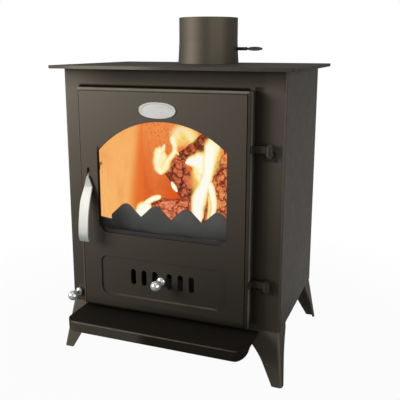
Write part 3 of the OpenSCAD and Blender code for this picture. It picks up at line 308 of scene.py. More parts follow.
def door_marks(coat):
    """The door: painted highlights on its top, left and right lips and on the pressed panel's lower edge;
    painted shade on the lower right, at the window's edge, in the groove, on the bend at the right, on
    its top face and on a strip at its foot."""
    f, x, y, z = coat.f, coat.x, coat.y, coat.z
    low, high = leaf_low, leaf_high
    streaky = f.step(f.grain(26.0, 3.0, 0.6), 0.25, 0.6, 0.6, 1.0)
    front_lip = f.fade(y, *past(low.y, 3.5, 5.5))
    # Painted highlights along the door's top and left lips
    upper = f.step(z, *past(high.z, -4.2, -1.5)) * front_lip
    coat.lay(upper * streaky, (0.165, 0.150, 0.120))
    left_lip = f.fade(x, *past(low.x, 2.2, 3.8)) * front_lip * f.fade(z, *past(low.z, 100, 260))
    coat.lay(left_lip * streaky, (0.070, 0.060, 0.046))
    # Painted shade: the door is darker and duller towards its lower right
    lower_right_shade = f.fade(z, *past(low.z, 30, 240)) * f.step(x, -0.12, 0.12, 0.25, 1.0)
    coat.lay(lower_right_shade * 0.7, times(coat.dark, 0.3))
    coat.shine += lower_right_shade * 0.13

    # Painted shade in the window's reveal and along the rim at its left
    reveal = f.step(y, *past(low.y, 0.4, 1.2)) * f.band(x, *past(0.0, -136.5, -135.5, 127, 128)) * f.band(
        z, *past(FLOOR_OF_BODY, 150, 155, 400, 405))
    rim = f.band(x, *past(0.0, -138.5, -135, -132, -130)) * f.band(
        z, *past(FLOOR_OF_BODY, 172, 184, 325, 345))
    window_shade = reveal.most(rim * 0.8)
    coat.lay(window_shade, PAINTED_SHADE_BLACK)
    coat.shine += window_shade * 0.35

    # A painted highlight on the door's right side, and painted shade on the bend before it
    flank = f.step(x, *past(high.x, -0.9, -0.3))
    side_lip = flank * f.band(y, *past(low.y, 4, 6, 10, 20))
    bend = f.step(x, *past(high.x, -4.7, -3)) * front_lip
    coat.lay(bend * 0.9, (0.0042, 0.0046, 0.0026))
    coat.lay(side_lip * streaky, (0.125, 0.118, 0.086))
    # Painted shade in the groove round the door's face
    groove = f.fade(abs(coat.edge - 5.5 * MM), *past(0.0, 0.6, 1.2)) * f.fade(y, *past(low.y, 1.5, 2))
    groove *= f.step(x, *past(high.x, -9, -7), 0.45, 1.0) * f.step(x, *past(low.x, 7, 9), 0.25, 1.0)
    coat.lay(groove, (0.002, 0.0018, 0.0014))
    coat.shine += groove * 0.35 + bend * 0.12

    # A painted highlight along the pressed panel's lower edge
    panel_low = FLOOR_OF_BODY + 40.5 * MM
    panel_highlight = f.fade(abs(z - panel_low), *past(0.0, 0.7, 1.6)) * f.band(x, *past(0.0, -125, -85, 100, 114))
    coat.lay(panel_highlight * streaky * 0.8, (0.058, 0.049, 0.033))
    # Painted shade on the door's top face and on a strip at its foot
    sill = f.step(z, *past(high.z, -1.2, -0.6)) * (1.0 - front_lip)
    coat.lay(sill, PAINTED_SHADE_BLACK)
    coat.shine += sill * 0.4
    foot_strip = f.fade(z, *past(low.z, 4, 31))
    coat.lay(foot_strip * 0.6 * (1.0 - panel_highlight).clamped(), times(coat.dark, 0.4))
    # The painted highlights keep their shine where the painted shade takes it away
    painted_highlights = (left_lip + upper + side_lip + panel_highlight).clamped()
    foot_shade = foot_strip * f.step(x, -0.12, 0.05, 0.33, 0.68)
    coat.painted_shade = (sill * 0.8).most(foot_shade, groove * 0.8, window_shade, lower_right_shade * 0.42, bend * 0.2) - painted_highlights


def body_marks(coat):
    """The body's front: painted shadow beside and above the door, painted light on a strip at the right,
    and a darker, duller band of painted shadow under the top."""
    f, x, y, z = coat.f, coat.x, coat.y, coat.z
    low, high = leaf_low, leaf_high
    on_front = f.fade(y, *past(FRONT, 0.5, 2))
    door_height = f.step(z, *past(low.z, -4, 4)) * f.fade(z, *past(high.z, 4, 8))
    # Painted shadow that the door casts beside and above it
    beside = f.band(x, *past(high.x, -2, 0, 3, 24)) * door_height
    above = f.band(z, *past(high.z, -3, -1, 1, 6)) * f.step(x, *past(low.x, -13, -6)) * f.fade(
        x, *past(high.x, -14, -4))
    door_shadow = (beside * 0.55).most(above * 0.85) * on_front
    # Painted light on a strip to the right of the door
    lit_strip = f.step(x, *past(high.x, 12, 24)) * f.step(z, *past(shell_low.z, 120, 340)) * on_front
    coat.lay(lit_strip * 0.8, times(coat.light, 3.4))
    coat.lay(door_shadow * 0.95, PAINTED_SHADE_BLACK)
    # Painted shadow under the top plate's overhang, darker and duller
    overhang_shadow = f.step(z, *past(shell_high.z, -46, -14)) * f.step(x, -0.215, -0.09, 0.3, 1.0) * on_front
    coat.lay(overhang_shadow * 0.5, times(coat.dark, 0.4))
    coat.shine += door_shadow * 0.4 + overhang_shadow * 0.27
    coat.painted_shade = door_shadow.most(overhang_shadow * 0.2)


def top_marks(coat):
    """The top plate's front edge has painted light on its left half."""
    f = coat.f
    lit_left_half = f.band(coat.x, *past(0.0, -225, -180, -70, 10)) * f.fade(coat.y, *past(top_low.y, 0.5, 1.5))
    coat.lay(lit_left_half, (0.100, 0.090, 0.074))


def collar_marks(coat):
    """The flue collar: painted shade down its left side and a painted highlight in a band right of the
    middle.
    """
    f = coat.f
    # Painted shade down the left side and a painted highlight right of the middle
    shaded_left_side = f.fade(coat.x, *past(0.0, -61, -53))
    highlight_band = f.band(coat.x, *past(0.0, 14, 30, 42, 54))
    coat.lay(highlight_band * 0.7, (0.085, 0.077, 0.052))
    coat.lay(shaded_left_side, times(coat.dark, 0.3))
    coat.painted_shade = shaded_left_side * 0.75


def shelf_marks(coat):
    """The ash shelf: painted light on the left half of its lip, painted shade over the rest, and a painted
    highlight along the lip's top edge.
    """
    f, x, y, z = coat.f, coat.x, coat.y, coat.z
    # Painted light on the left half of the lip, painted shade on the rest
    lit_lip = f.fade(x, *past(0.0, -34, -4)) * f.fade(y, *past(shelf_low.y, 2, 6))
    shaded_rest = 1.0 - lit_lip
    coat.colour = f.blend(lit_lip, times(coat.dark, 0.35), times(coat.light, 2.6))
    coat.shine += shaded_rest * 0.14
    # A painted highlight along the lip's top edge
    lip_highlight = f.fade(y, *past(shelf_low.y, 1.2, 2.8)) * f.step(z, *past(shelf_high.z, -2.2, -1))
    lip_highlight *= f.step(x, -0.17, 0.15, 1.0, 0.45) * f.step(f.grain(30.0, 3.0, 0.6), 0.3, 0.6, 0.6, 1.0)
    coat.lay(lip_highlight, (0.135, 0.125, 0.100))
    coat.painted_shade = shaded_rest * 0.5 - lip_highlight


# Other finishes


def cast_iron(name, colour):
    """Matt cast iron: pitted, clouded, and rusty in spots."""
    f = Finish(name)
    pits = f.grain(420.0, 4.0, 0.65)
    cloud = f.grain(22.0, 4.0, 0.6)
    rusty = f.step(f.grain(60.0, 5.0, 0.7), 0.56, 0.74)
    shade = f.blend(f.step(cloud, 0.3, 0.7), times(colour, 0.75), times(colour, 1.3))
    shade = f.blend(rusty * 0.18, shade, srgb(92, 60, 42))
    return f.surface(shade, (0.58 + (pits - 0.5) * 0.3).clamped(), f.bump(pits, 0.4, 0.0006))


def plain_steel(name, colour, rough=0.4, along=(40, 40, 900), lit=None, lit_strength=0.7):
    """Drawn or rolled steel, its scratches lying along one way, with heat stains. lit is the fire's light
    on it."""
    f = Finish(name)
    lines = f.grain(1.0, 3.0, 0.6, where=f.stretched(along))
    stain = f.grain(30.0, 4.0, 0.6)
    shade = f.blend(f.step(stain, 0.42, 0.72) * 0.45, colour, times(colour, 0.55))
    shade = f.blend(f.step(lines, 0.35, 0.75) * 0.3, shade, times(colour, 1.35))
    warm = {}
    if lit:
        glow = f.blend(f.step(stain, 0.4, 0.7), lit, times(lit, 0.6))
        warm = {"glow": glow, "glow_strength": lit_strength}
    rough = (rough + (lines - 0.5) * 0.2 + (stain - 0.5) * 0.12).clamped()
    return f.surface(shade, rough, f.bump(lines, 0.12, 0.0002), metal=0.9, **warm)


def satin_stainless(name):
    """The handle strip: pale satin steel brushed along its length, greyer at its narrow top, with painted
    shade on its lower part and curled foot, and dark painted shade where it hooks into the door."""
    f = Finish(name)
    _, y, z = f.axes()
    lines = f.grain(1.0, 2.0, 0.55, where=f.stretched((1500, 60, 14)))
    blotch = f.grain(1.0, 4.0, 0.6, where=f.stretched((90, 90, 30)))
    low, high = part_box("door_handle")
    # Painted shade on the lower part and the curled foot, and where the strip hooks into the door
    foot = f.fade(z, *past(low.z, 10, 22))
    wear_and_shade = f.fade(z, *past(low.z, 22, 34))
    neck = f.step(z, *past(high.z, -55, -22))
    hook = f.step(y, *past(FRONT, -36, -28))
    shade = f.blend(f.step(lines, 0.3, 0.7), srgb(198, 199, 191), srgb(214, 215, 206))
    shade = f.blend(f.step(blotch, 0.55, 0.75) * 0.25, shade, srgb(186, 187, 181))
    shade = f.blend(neck * 0.8, shade, srgb(168, 170, 168))
    shade = f.blend(wear_and_shade * 0.3, shade, srgb(176, 178, 178))
    shade = f.blend(foot * 0.6, shade, srgb(136, 139, 140))
    shade = f.blend(hook * neck, shade, srgb(66, 62, 56))
    return f.surface(shade, (0.58 + (lines - 0.5) * 0.2).clamped(), f.bump(lines, 0.1, 0.0002), metal=0.15)


def chrome_plate(name):
    """Polished chrome with a faint haze."""
    f = Finish(name)
    fine = f.grain(1200.0, 2.0, 0.5)
    haze = f.grain(160.0, 4.0, 0.6)
    shade = f.blend(f.step(haze, 0.4, 0.75), (0.9, 0.905, 0.91), (0.78, 0.785, 0.79))
    rough = (0.07 + f.step(haze, 0.45, 0.8) * 0.12 + (fine - 0.5) * 0.04).clamped()
    return f.surface(shade, rough, f.bump(haze, 0.03, 0.0003), metal=0.68)


def fire_brick(name, side):
    """Fire brick lit by the flames: deep orange behind the fire, paler on the left, brighter towards the
    top, with pores and dark specks, and unlit below the grate. near is 1 towards the door and up is 1
    towards the top."""
    f = Finish(name)
    x, y, z = f.axes()
    behind = side == "back"
    flakes = f.cells(430.0)
    pores = f.grain(330.0, 4.0, 0.62)
    cloud = f.grain(16.0, 4.0, 0.6)
    streak = f.grain(1.0, 3.0, 0.6, where=f.stretched((60, 60, 12)))
    up = f.step(z, *past(GRATE, 30, 250))
    down = 1.0 - up
    if side == "left":
        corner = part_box("brick_back")[0].y
        near = f.step(y, corner - down * 0.02, corner - 0.052 - down * 0.05)
        glow = f.blend(near, srgb(240, 130, 50), srgb(255, 190, 110))
        glow = f.blend((1.0 - near) * down * 0.7, glow, srgb(232, 98, 22))
        glow = f.blend(near * up * 0.35, glow, srgb(248, 162, 92))
    elif side == "right":
        near = f.step(y, *past(FRONT, 240, 50))
        glow = f.blend(near, srgb(232, 112, 44), srgb(238, 150, 84))
    else:
        # the back is lighter to the right of its middle and in its left corner
        glow = f.blend(up, srgb(222, 82, 4), srgb(248, 148, 74))
        glow = f.blend(f.step(x, -0.03, 0.06) * up * 0.6, glow, srgb(252, 170, 96))
        glow = f.blend((1.0 - abs(x + 0.150) / 0.05).clamped() * 0.35, glow, srgb(246, 150, 80))
    glow = f.blend(f.step(cloud, 0.42, 0.75) * 0.28, glow, srgb(226, 100, 40))
    glow = f.blend(f.step(streak, 0.5, 0.8) * 0.16, glow, srgb(250, 186, 118))
    glow = f.blend(f.step(pores, 0.6, 0.74) * (0.5 if behind else 0.16), glow, srgb(184, 70, 26))
    flat_to_face = f.stretched((135, 2, 135) if behind else (2, 135, 135))
    specks = f.fade(f.cells(1.0, where=flat_to_face), 0.17, 0.34)
    glow = f.blend(specks * (0.46 if behind else 0.14), glow, srgb(128, 50, 24))
    glow = f.blend(f.step(z, *past(GRATE, -12, 12)), (0, 0, 0), glow)
    base = f.blend(f.step(flakes, 0.1, 0.75), srgb(62, 36, 14), srgb(46, 26, 10))
    rough = (0.86 + (pores - 0.5) * 0.16).clamped()
    broken = f.bump(pores * 0.6 + flakes * 0.4, 0.5, 0.0012)
    return f.surface(base, rough, broken, glow=glow, glow_strength=0.955, specular=0.12)


def burning_wood(name, axis, seed, skin, high, crack, fineness=95.0, bands=0.0):
    """Charred bark broken into blocks. axis is the log's direction; skin, high and crack are its colours
    in the fire. fineness sets how small its blocks are, and bands how strong the dark stripes across it.
    The log's own value "turned" is 1 on the side that the flames light and 0 on the far side."""
    f = Finish(name)
    turn = Vector((0, 0, 1)).rotation_difference(Vector(axis)).inverted().to_euler()
    turned = f.own_value("turned")
    placed = f.node("ShaderNodeVectorRotate", {"rotation_type": "EULER_XYZ"}, {
        0: f.where, "Rotation": tuple(turn)}).outputs[0]
    blocks = f.stretched((1.0, 1.0, 0.72), shift=(seed, seed, seed), where=placed)
    wavy = f.grain(55.0, 3.0, where=placed, out=1)
    bent = f.node("ShaderNodeMix", {"data_type": "VECTOR"}, {0: 0.034, 4: blocks, 5: wavy}).outputs[1]
    edge = f.cells(fineness, "DISTANCE_TO_EDGE", where=bent)
    small = f.cells(fineness * 2.6, "DISTANCE_TO_EDGE", where=bent)
    bark = f.grain(170.0, 5.0, 0.62, where=blocks)
    patch = f.grain(34.0, 3.0, 0.6, where=blocks)
    open_crack = f.fade(edge + (bark - 0.5) * 0.2, 0.0, 0.15)
    fine_crack = f.fade(small, 0.0, 0.12) * f.step(patch, 0.4, 0.6)
    base = f.blend(f.step(bark, 0.3, 0.7), srgb(34, 14, 10), srgb(70, 32, 22))
    glow = f.blend(f.step(bark, 0.34, 0.66), skin, high)
    glow = f.blend(f.step(patch, 0.38, 0.68) * 0.55, glow, high)
    if bands:
        stripe = f.grain(1.0, 2.0, 0.5, where=f.stretched((18, 18, 150), where=placed))
        glow = f.blend(f.step(stripe, 0.42, 0.6) * bands, glow, crack)
    glow = f.blend(fine_crack * 0.45, glow, crack)
    glow = f.blend(open_crack, glow, crack)
    glow = f.blend(1.0 - f.step(turned, 0.02, 0.62, 0.1, 1.0), glow, srgb(92, 20, 12))
    height = bark * 0.3 + f.step(edge, 0.0, 0.16) * 0.7
    return f.surface(base, 0.85, f.bump(height, 0.9, 0.003), glow=glow, glow_strength=0.9, specular=0.12)


def ember_finish(name):
    """Glowing coals with pale ash on them."""
    f = Finish(name)
    lumps = f.cells(95.0, "DISTANCE_TO_EDGE")
    ash = f.grain(60.0, 5.0, 0.65)
    hot = f.fade(lumps, 0.02, 0.2) * f.step(ash, 0.4, 0.6)
    base = f.blend(f.step(ash, 0.4, 0.65), srgb(70, 62, 58), srgb(150, 140, 132))
    glow = f.blend(hot, srgb(26, 6, 3), srgb(255, 104, 24))
    return f.surface(base, 0.9, f.bump(ash * 0.4 + lumps, 0.9, 0.004), glow=glow, glow_strength=0.92)


def flame_finish(name, soft, most, warm, streaks, hottest=1.0):
    """Flame: white heart, yellow skin, orange rim. The tongue's own value "heart" is 1 along its middle and
    0 at its rim. soft is how slowly the rim fades in, most the greatest cover, warm a shift to orange and
    hottest the palest colour."""
    f = Finish(name)
    heart = f.own_value("heart")
    cool = f.own_value("cool")
    lick = f.grain(1.0, 3.0, 0.55, where=f.stretched((150, 60, 30), turn=(0, 0.25, 0)), warp=0.6)
    fine = f.grain(1.0, 2.0, 0.5, where=f.stretched((420, 90, 60), turn=(0, 0.2, 0)))
    core = heart * 1.15 + (lick - 0.5) * streaks + (fine - 0.5) * streaks * 0.5 - cool - warm
    glow = f.ramp(core.clamped() * hottest,
        (0.0, srgb(253, 174, 78)), (0.14, srgb(254, 204, 98)), (0.3, srgb(255, 228, 124)),
        (0.48, srgb(255, 242, 164)), (0.7, srgb(255, 252, 216)), (1.0, srgb(255, 255, 246)))
    alpha = f.step(heart + (lick - 0.5) * 0.4 + (fine - 0.5) * 0.16, 0.0, soft) * most
    return f.surface((0, 0, 0), 1.0, glow=glow, glow_strength=1.0, alpha=alpha, specular=0.0)


def rope_finish(name):
    """Black braided rope: two sets of strands that cross."""
    f = Finish(name)
    x, _, z = f.axes()
    strands = 900.0
    twist = ((x + z) * strands).sine() * 0.5 + 0.5
    cross = ((x - z) * strands).sine() * 0.5 + 0.5
    fuzz = f.grain(900.0, 3.0, 0.6)
    weave = twist.most(cross)
    shade = f.blend(weave, srgb(14, 13, 12), srgb(44, 42, 40))
    rough = (0.85 + (fuzz - 0.5) * 0.2).clamped()
    return f.surface(shade, rough, f.bump(weave * 0.8 + fuzz * 0.2, 0.8, 0.0012))


def clear_glass(name):
    """Clear stove glass with faint smears; its low ior keeps the view through it straight."""
    f = Finish(name)
    smear = f.grain(9.0, 3.0, 0.6)
    rough = (0.012 + f.step(smear, 0.55, 0.8) * 0.03).clamped()
    return f.surface((0.97, 0.965, 0.955), rough, through=1.0, ior=1.18, specular=0.3)


def badge_finish(name):
    """The bare oval: pale brushed plate, with painted shade in a line inside its rim towards the top left.
    """
    f = Finish(name)
    x, _, z = f.axes()
    low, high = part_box("badge")
    middle, half = (low + high) / 2, (high - low) / 2
    lines = f.grain(1.0, 2.0, 0.6, where=f.stretched((30, 400, 1400)))
    blotch = f.grain(90.0, 3.0, 0.6)
    dx = (x - middle.x) / half.x
    dz = (z - middle.z) / half.z
    ring = (dx * dx + dz * dz) ** 0.5
    line = (1.0 - abs(ring - 0.84) / 0.07).clamped()
    shade = f.blend(f.step(lines, 0.3, 0.7), srgb(190, 190, 188), srgb(208, 208, 206))
    shade = f.blend(f.step(blotch, 0.5, 0.75) * 0.3, shade, srgb(170, 171, 168))
    # The line inside the rim is painted shade, fading out towards the bottom right
    shade = f.blend(line * f.step(dz + dx * -0.3, -0.6, 0.9) * 0.55, shade, srgb(128, 129, 126))
    return f.surface(shade, (0.4 + (lines - 0.5) * 0.2).clamped(), f.bump(lines, 0.08, 0.0002), metal=0.3)


def sooted_zinc(name):
    """The ash pan's zinced sheet, darkened by use, with ash on it."""
    f = Finish(name)
    spangle = f.node("ShaderNodeSeparateXYZ", {}, {0: f.cells(120.0, out=1)})
    tone = Num(f, spangle.outputs[0])
    ash = f.step(f.grain(26.0, 5.0, 0.65), 0.45, 0.75)
    shade = f.blend(tone * 0.5, srgb(52, 52, 52), srgb(74, 74, 73))
    shade = f.blend(ash * 0.6, shade, srgb(70, 66, 62))
    return f.surface(shade, (0.5 + ash * 0.35).clamped(), metal=0.7)


BRIGHT_STEEL = (0.30, 0.28, 0.25)

# Where a plate is rubbed: its low sides, its high sides and the rubbed line's width. None leaves a side out
body_face = (shell_low.x, None, shell_low.z), (shell_high.x, None, shell_high.z), 0.003
door_face = (leaf_low.x, None, leaf_low.z), (leaf_high.x, None, leaf_high.z), 0.0035
top_face = (top_low.x, top_low.y, None), (top_high.x, top_high.y, None), 0.003
shelf_face = (shelf_low.x, shelf_low.y, None), (shelf_high.x, FRONT + 0.1, None), 0.003

# Each finish, with the nodes that wear it
DRESS = (
    (stove_paint("body_paint", WARM_PAINT, 0.57, body_face, marks=body_marks), "body_shell"),
    (stove_paint("door_paint", WARM_PAINT, 0.57, door_face, marks=door_marks), "door_panel"),
    (stove_paint("top_paint", WARM_PAINT, 0.62, top_face, 0.2, 0.5, sheen=0.62, marks=top_marks),
        "top_plate"),
    (stove_paint("shelf_paint", WARM_PAINT, 0.6, shelf_face, 0.02, 0.6, sheen=0.5, marks=shelf_marks),
        "ash_shelf"),
    (stove_paint("lit_leg_paint", LIT_LEG_PAINT, 0.56),
        "leg_front_left leg_front_right leg_rear_left leg_rear_right"),
    (stove_paint("plain_paint", WARM_PAINT, 0.58),
        "back_panel base_plate airwash_channel shutter_guides ash_pan_runners grate_rails "
        "air_slide_guides"),
    (stove_paint("shaded_hinge_paint", SHADED_HINGE_PAINT, 0.62, sheen=0.6),
        "hinge_arm_upper hinge_arm_lower hinge_bracket_upper hinge_bracket_lower"),
    (stove_paint("collar_paint", COLLAR_PAINT, 0.6, marks=collar_marks), "flue_collar"),
    (stove_paint("slide_paint", SLIDE_PAINT, 0.8), "primary_air_slide"),
    (cast_iron("cast_iron", (0.022, 0.022, 0.022)),
        "damper_disc baffle_plate brick_spacers grate grate_frame"),
    (cast_iron("guard_iron", (0.040, 0.042, 0.042)), "log_guard"),
    (plain_steel("plain_steel", (0.30, 0.30, 0.29)), "handle_bracket secondary_air_rod air_shutter"),
    (plain_steel("keeper_steel", BRIGHT_STEEL, lit=srgb(176, 108, 60)), "latch_keeper"),
    (plain_steel("clip_steel", BRIGHT_STEEL, lit=srgb(168, 104, 58), lit_strength=0.22), "glass_clips"),
    (plain_steel("spindle_steel", (0.060, 0.058, 0.056), 0.45, (900, 40, 40)),
        "damper_spindle hinge_pin_upper hinge_pin_lower handle_pivot_pin"),
    (plain_steel("bolt_steel", (0.16, 0.16, 0.155), 0.45, (300, 300, 300)),
        "damper_screws shelf_bolts leg_bolts glass_clip_screws primary_air_nut"),
    (sooted_zinc("ash_pan_zinc"), "ash_pan"),
    (satin_stainless("handle_stainless"), "door_handle"),
    (chrome_plate("knob_chrome"), "primary_air_knob secondary_air_knob"),
    (fire_brick("brick_left_lit", "left"), "brick_left"),
    (fire_brick("brick_right_lit", "right"), "brick_right"),
    (fire_brick("brick_back_lit", "back"), "brick_back"),
    (rope_finish("seal_rope"), "glass_gasket door_rope_seal"),
    (clear_glass("stove_glass"), "door_glass"),
    (badge_finish("badge_plate"), "badge"),
)
for material, names in DRESS:
    for name in names.split():
        slots = nodes[name].data.materials
        slots.clear()
        slots.append(material)


# Fire bed


def active():
    return bpy.context.view_layer.objects.active


def settle(piece, name, material, body="stove"):
    """Names a new piece, bakes its place into its mesh, and lets it ride on its body."""
    piece.name = name
    piece.data.name = name
    bpy.ops.object.select_all(action="DESELECT")
    piece.select_set(True)
    bpy.context.view_layer.objects.active = piece
    bpy.ops.object.transform_apply(location=True, rotation=True, scale=True)
    piece.data.materials.clear()
    piece.data.materials.append(material)
    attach(piece, body)


def split_log(name, node, a, b, radius, flats, seed, lit_from, colours):
    """A split log from a to b: a cylinder cut into rings and staves, roughened like broken bark, with
    sawn ends. flats are the split faces that give it its wedge section: each an angle and a share of
    the radius."""
    middle, way = (a + b) / 2, b - a
    bpy.ops.object.select_all(action="DESELECT")
    bpy.ops.mesh.primitive_cylinder_add(
        vertices=72, radius=radius, depth=way.length, end_fill_type="TRIFAN", location=middle)
    log = active()
    bpy.ops.object.mode_set(mode="EDIT")
    bpy.ops.mesh.select_all(action="DESELECT")
    shape = bmesh.from_edit_mesh(log.data)
    long_edges = [e for e in shape.edges if abs((e.verts[0].co - e.verts[1].co).normalized().z) > 0.9]
    spokes = [e for e in shape.edges if min(v.co.xy.length for v in e.verts) < radius * 0.01]
    rings = max(16, int(way.length / (2.8 * MM)))
    bmesh.ops.subdivide_edges(shape, edges=long_edges, cuts=rings, use_grid_fill=False)
    bmesh.ops.subdivide_edges(shape, edges=spokes, cuts=6, use_grid_fill=False)
    drift = Vector((seed * 3.1, seed * 1.7, seed * 2.3))
    half = way.length / 2
    for v in shape.verts:
        ring = v.co.xy.length
        around = math.atan2(v.co.y, v.co.x)
        for angle, share in flats:
            too_far = math.cos(around - angle) * ring - share * radius
            if too_far > 0:
                v.co.x -= too_far * math.cos(angle)
                v.co.y -= too_far * math.sin(angle)
        crackle = v.co * 62.0 + drift
        swell = noise.noise(v.co * 22.0 + drift) * 0.10
        plates = abs(noise.noise(Vector((crackle.x, crackle.y, crackle.z * 0.55)))) * 0.16
        crumbs = noise.noise(v.co * 260.0 + drift) * 0.035
        out = 1.0 + (swell + plates + crumbs - 0.10) * min(1.0, ring / radius)
        v.co.x *= out
        v.co.y *= out
        near_end = max(0.0, (abs(v.co.z) - half * 0.9) / (half * 0.1))
        v.co.z *= 1.0 - 0.03 * near_end * noise.noise(v.co * 120.0 + drift)
    bmesh.update_edit_mesh(log.data)
    bpy.ops.object.mode_set(mode="OBJECT")
    log.rotation_mode = "QUATERNION"
    log.rotation_quaternion = Vector((0, 0, 1)).rotation_difference(way)
    towards = log.rotation_quaternion.inverted() @ Vector(lit_from).normalized()
    towards.z = 0.0
    turned = log.data.attributes.new("turned", "FLOAT", "POINT")
    turned.data.foreach_set("value", [0.5 + 0.62 * v.co.dot(towards) / radius for v in log.data.vertices])
    bpy.ops.object.shade_smooth_by_angle(angle=math.radians(50))
    settle(log, name, burning_wood(name + "_bark", way.normalized(), seed, **colours))
    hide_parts(node)


# How far a point that lies nearer to the viewer moves right and up, for each millimetre, to be seen in
# the same place
NEARER_RIGHT, NEARER_UP = 0.43, 0.22
PLANNED_DEPTH = 100.0


def tongue(name, material, depth, thick, cool, spine, wide, seed):
    """One tongue of flame: a sphere drawn out along a spine, whose points are (x, z) as seen at the
    planned depth."""
    nearer = PLANNED_DEPTH - depth
    points = [local(x + NEARER_RIGHT * nearer, depth, z + NEARER_UP * nearer) for x, z in spine]
    bpy.ops.object.select_all(action="DESELECT")
    bpy.ops.mesh.primitive_uv_sphere_add(segments=28, ring_count=56, radius=1.0)
    flame = active()
    mesh = flame.data
    heart = mesh.attributes.new("heart", "FLOAT", "POINT")
    chill = mesh.attributes.new("cool", "FLOAT", "POINT")
    hearts = []
    count = len(points) - 1

    def along(share):
        """A point on a smooth curve through the spine's points, 0 at its foot and 1 at its tip."""
        place = min(max(share, 0.0), 1.0) * count
        first = min(int(place), count - 1)
        u = place - first
        a, b, c, d = [points[max(0, min(count, number))] for number in range(first - 1, first + 3)]
        return 0.5 * (2 * b + (c - a) * u + (2 * a - 5 * b + 4 * c - d) * u * u
            + (3 * b - a - 3 * c + d) * u ** 3)

    def width(share):
        """The width at a share of the length, eased from each given width to the next."""
        place = min(max(share, 0.0), 1.0) * (len(wide) - 1)
        first = min(int(place), len(wide) - 2)
        u = place - first
        u = u * u * (3 - 2 * u)
        return wide[first] * (1 - u) + wide[first + 1] * u

    for v in mesh.vertices:
        share = math.acos(max(-1.0, min(1.0, -v.co.z))) / math.pi
        ring = math.hypot(v.co.x, v.co.y)
        cap = min(1.0, ring / 0.28)
        across, front = (v.co.x / ring, v.co.y / ring) if ring > 1e-6 else (0.0, 1.0)
        ahead = (along(share + 0.01) - along(share - 0.01)).normalized()
        side = Vector((ahead.z, 0.0, -ahead.x)).normalized()
        ripple = 1.0 + 0.10 * noise.noise(Vector((share * 7.0, seed, across)))
        half_width = width(share) * MM * 0.5 * cap * ripple
        v.co = along(share) + side * across * half_width + Vector((0, 1, 0)) * front * thick * half_width
        tip = min(1.0, (1.0 - share) / 0.16, share / 0.07)
        hearts.append(max(0.0, 1.0 - across * across) ** 1.6 * (0.25 + 0.75 * tip))
    heart.data.foreach_set("value", hearts)
    chill.data.foreach_set("value", [cool] * len(hearts))
    bpy.ops.object.shade_smooth()
    settle(flame, name, material)


# Each log: its name, the node that it stands for, its two ends, its radius in metres, its flats, its
# seed, the way to the flames that light it, and the colours and fineness of its bark
LOGS = (
    ("low_log", "log_front", local(-91, 95, 171), local(7, 99, 171), 0.0385,
        ((1.9, 0.75), (-2.2, 0.7)), 1.3, (-0.2, -0.6, 0.8),
        {"skin": srgb(212, 84, 42), "high": srgb(249, 162, 112), "crack": srgb(134, 20, 8),
            "fineness": 44.0}),
    ("rear_log", "log_back", local(-123, 195, 160), local(131, 195, 160), 0.0275,
        ((1.2, 0.8),), 2.6, (0.0, -0.3, 1.0),
        {"skin": srgb(150, 52, 28), "high": srgb(214, 96, 48), "crack": srgb(70, 18, 10)}),
    ("leaning_log", "log_leaning", local(36.5, 140, 150), local(-53.5, 140, 286), 0.0272,
        ((0.4, 0.7), (-1.2, 0.72), (2.6, 0.8)), 4.1, (0.9, -0.2, 0.65),
        {"skin": srgb(170, 56, 30), "high": srgb(238, 130, 82), "crack": srgb(76, 8, 5),
            "fineness": 60.0}),
    ("standing_log", "log_standing", local(66, 116, 136), local(78, 134, 350), 0.0265,
        ((2.5, 0.8),), 5.7, (-0.7, -1.0, 0.0),
        {"skin": srgb(212, 86, 32), "high": srgb(250, 168, 98), "crack": srgb(126, 20, 6),
            "fineness": 40.0}),
    ("upper_log", "log_top", local(-33, 150, 289), local(66, 150, 369), 0.0165,
        ((-1.0, 0.75), (1.9, 0.8)), 7.9, (0.2, -0.8, 0.5),
        {"skin": srgb(186, 60, 28), "high": srgb(242, 134, 74), "crack": srgb(70, 11, 5),
            "fineness": 110.0, "bands": 0.85}),
)
for log in LOGS:
    split_log(*log)

flame = flame_finish("flame", 0.76, 1.0, 0.06, 0.7)
flame_soft = flame_finish("flame_soft", 1.2, 0.96, 0.24, 0.7)
flame_core = flame_finish("flame_core", 0.8, 0.9, -0.45, 0.3)
flame_veil = flame_finish("flame_veil", 1.1, 0.75, 0.05, 0.8, 0.8)
flame_wisps = flame_finish("flame_wisps", 1.5, 0.6, 0.3, 0.6, 0.7)
flame_glowing = flame_finish("flame_glowing", 1.25, 0.6, 0.1, 0.5, 0.2)
flame_haze = flame_finish("flame_haze", 1.25, 0.5, 0.1, 0.5, 0.34)

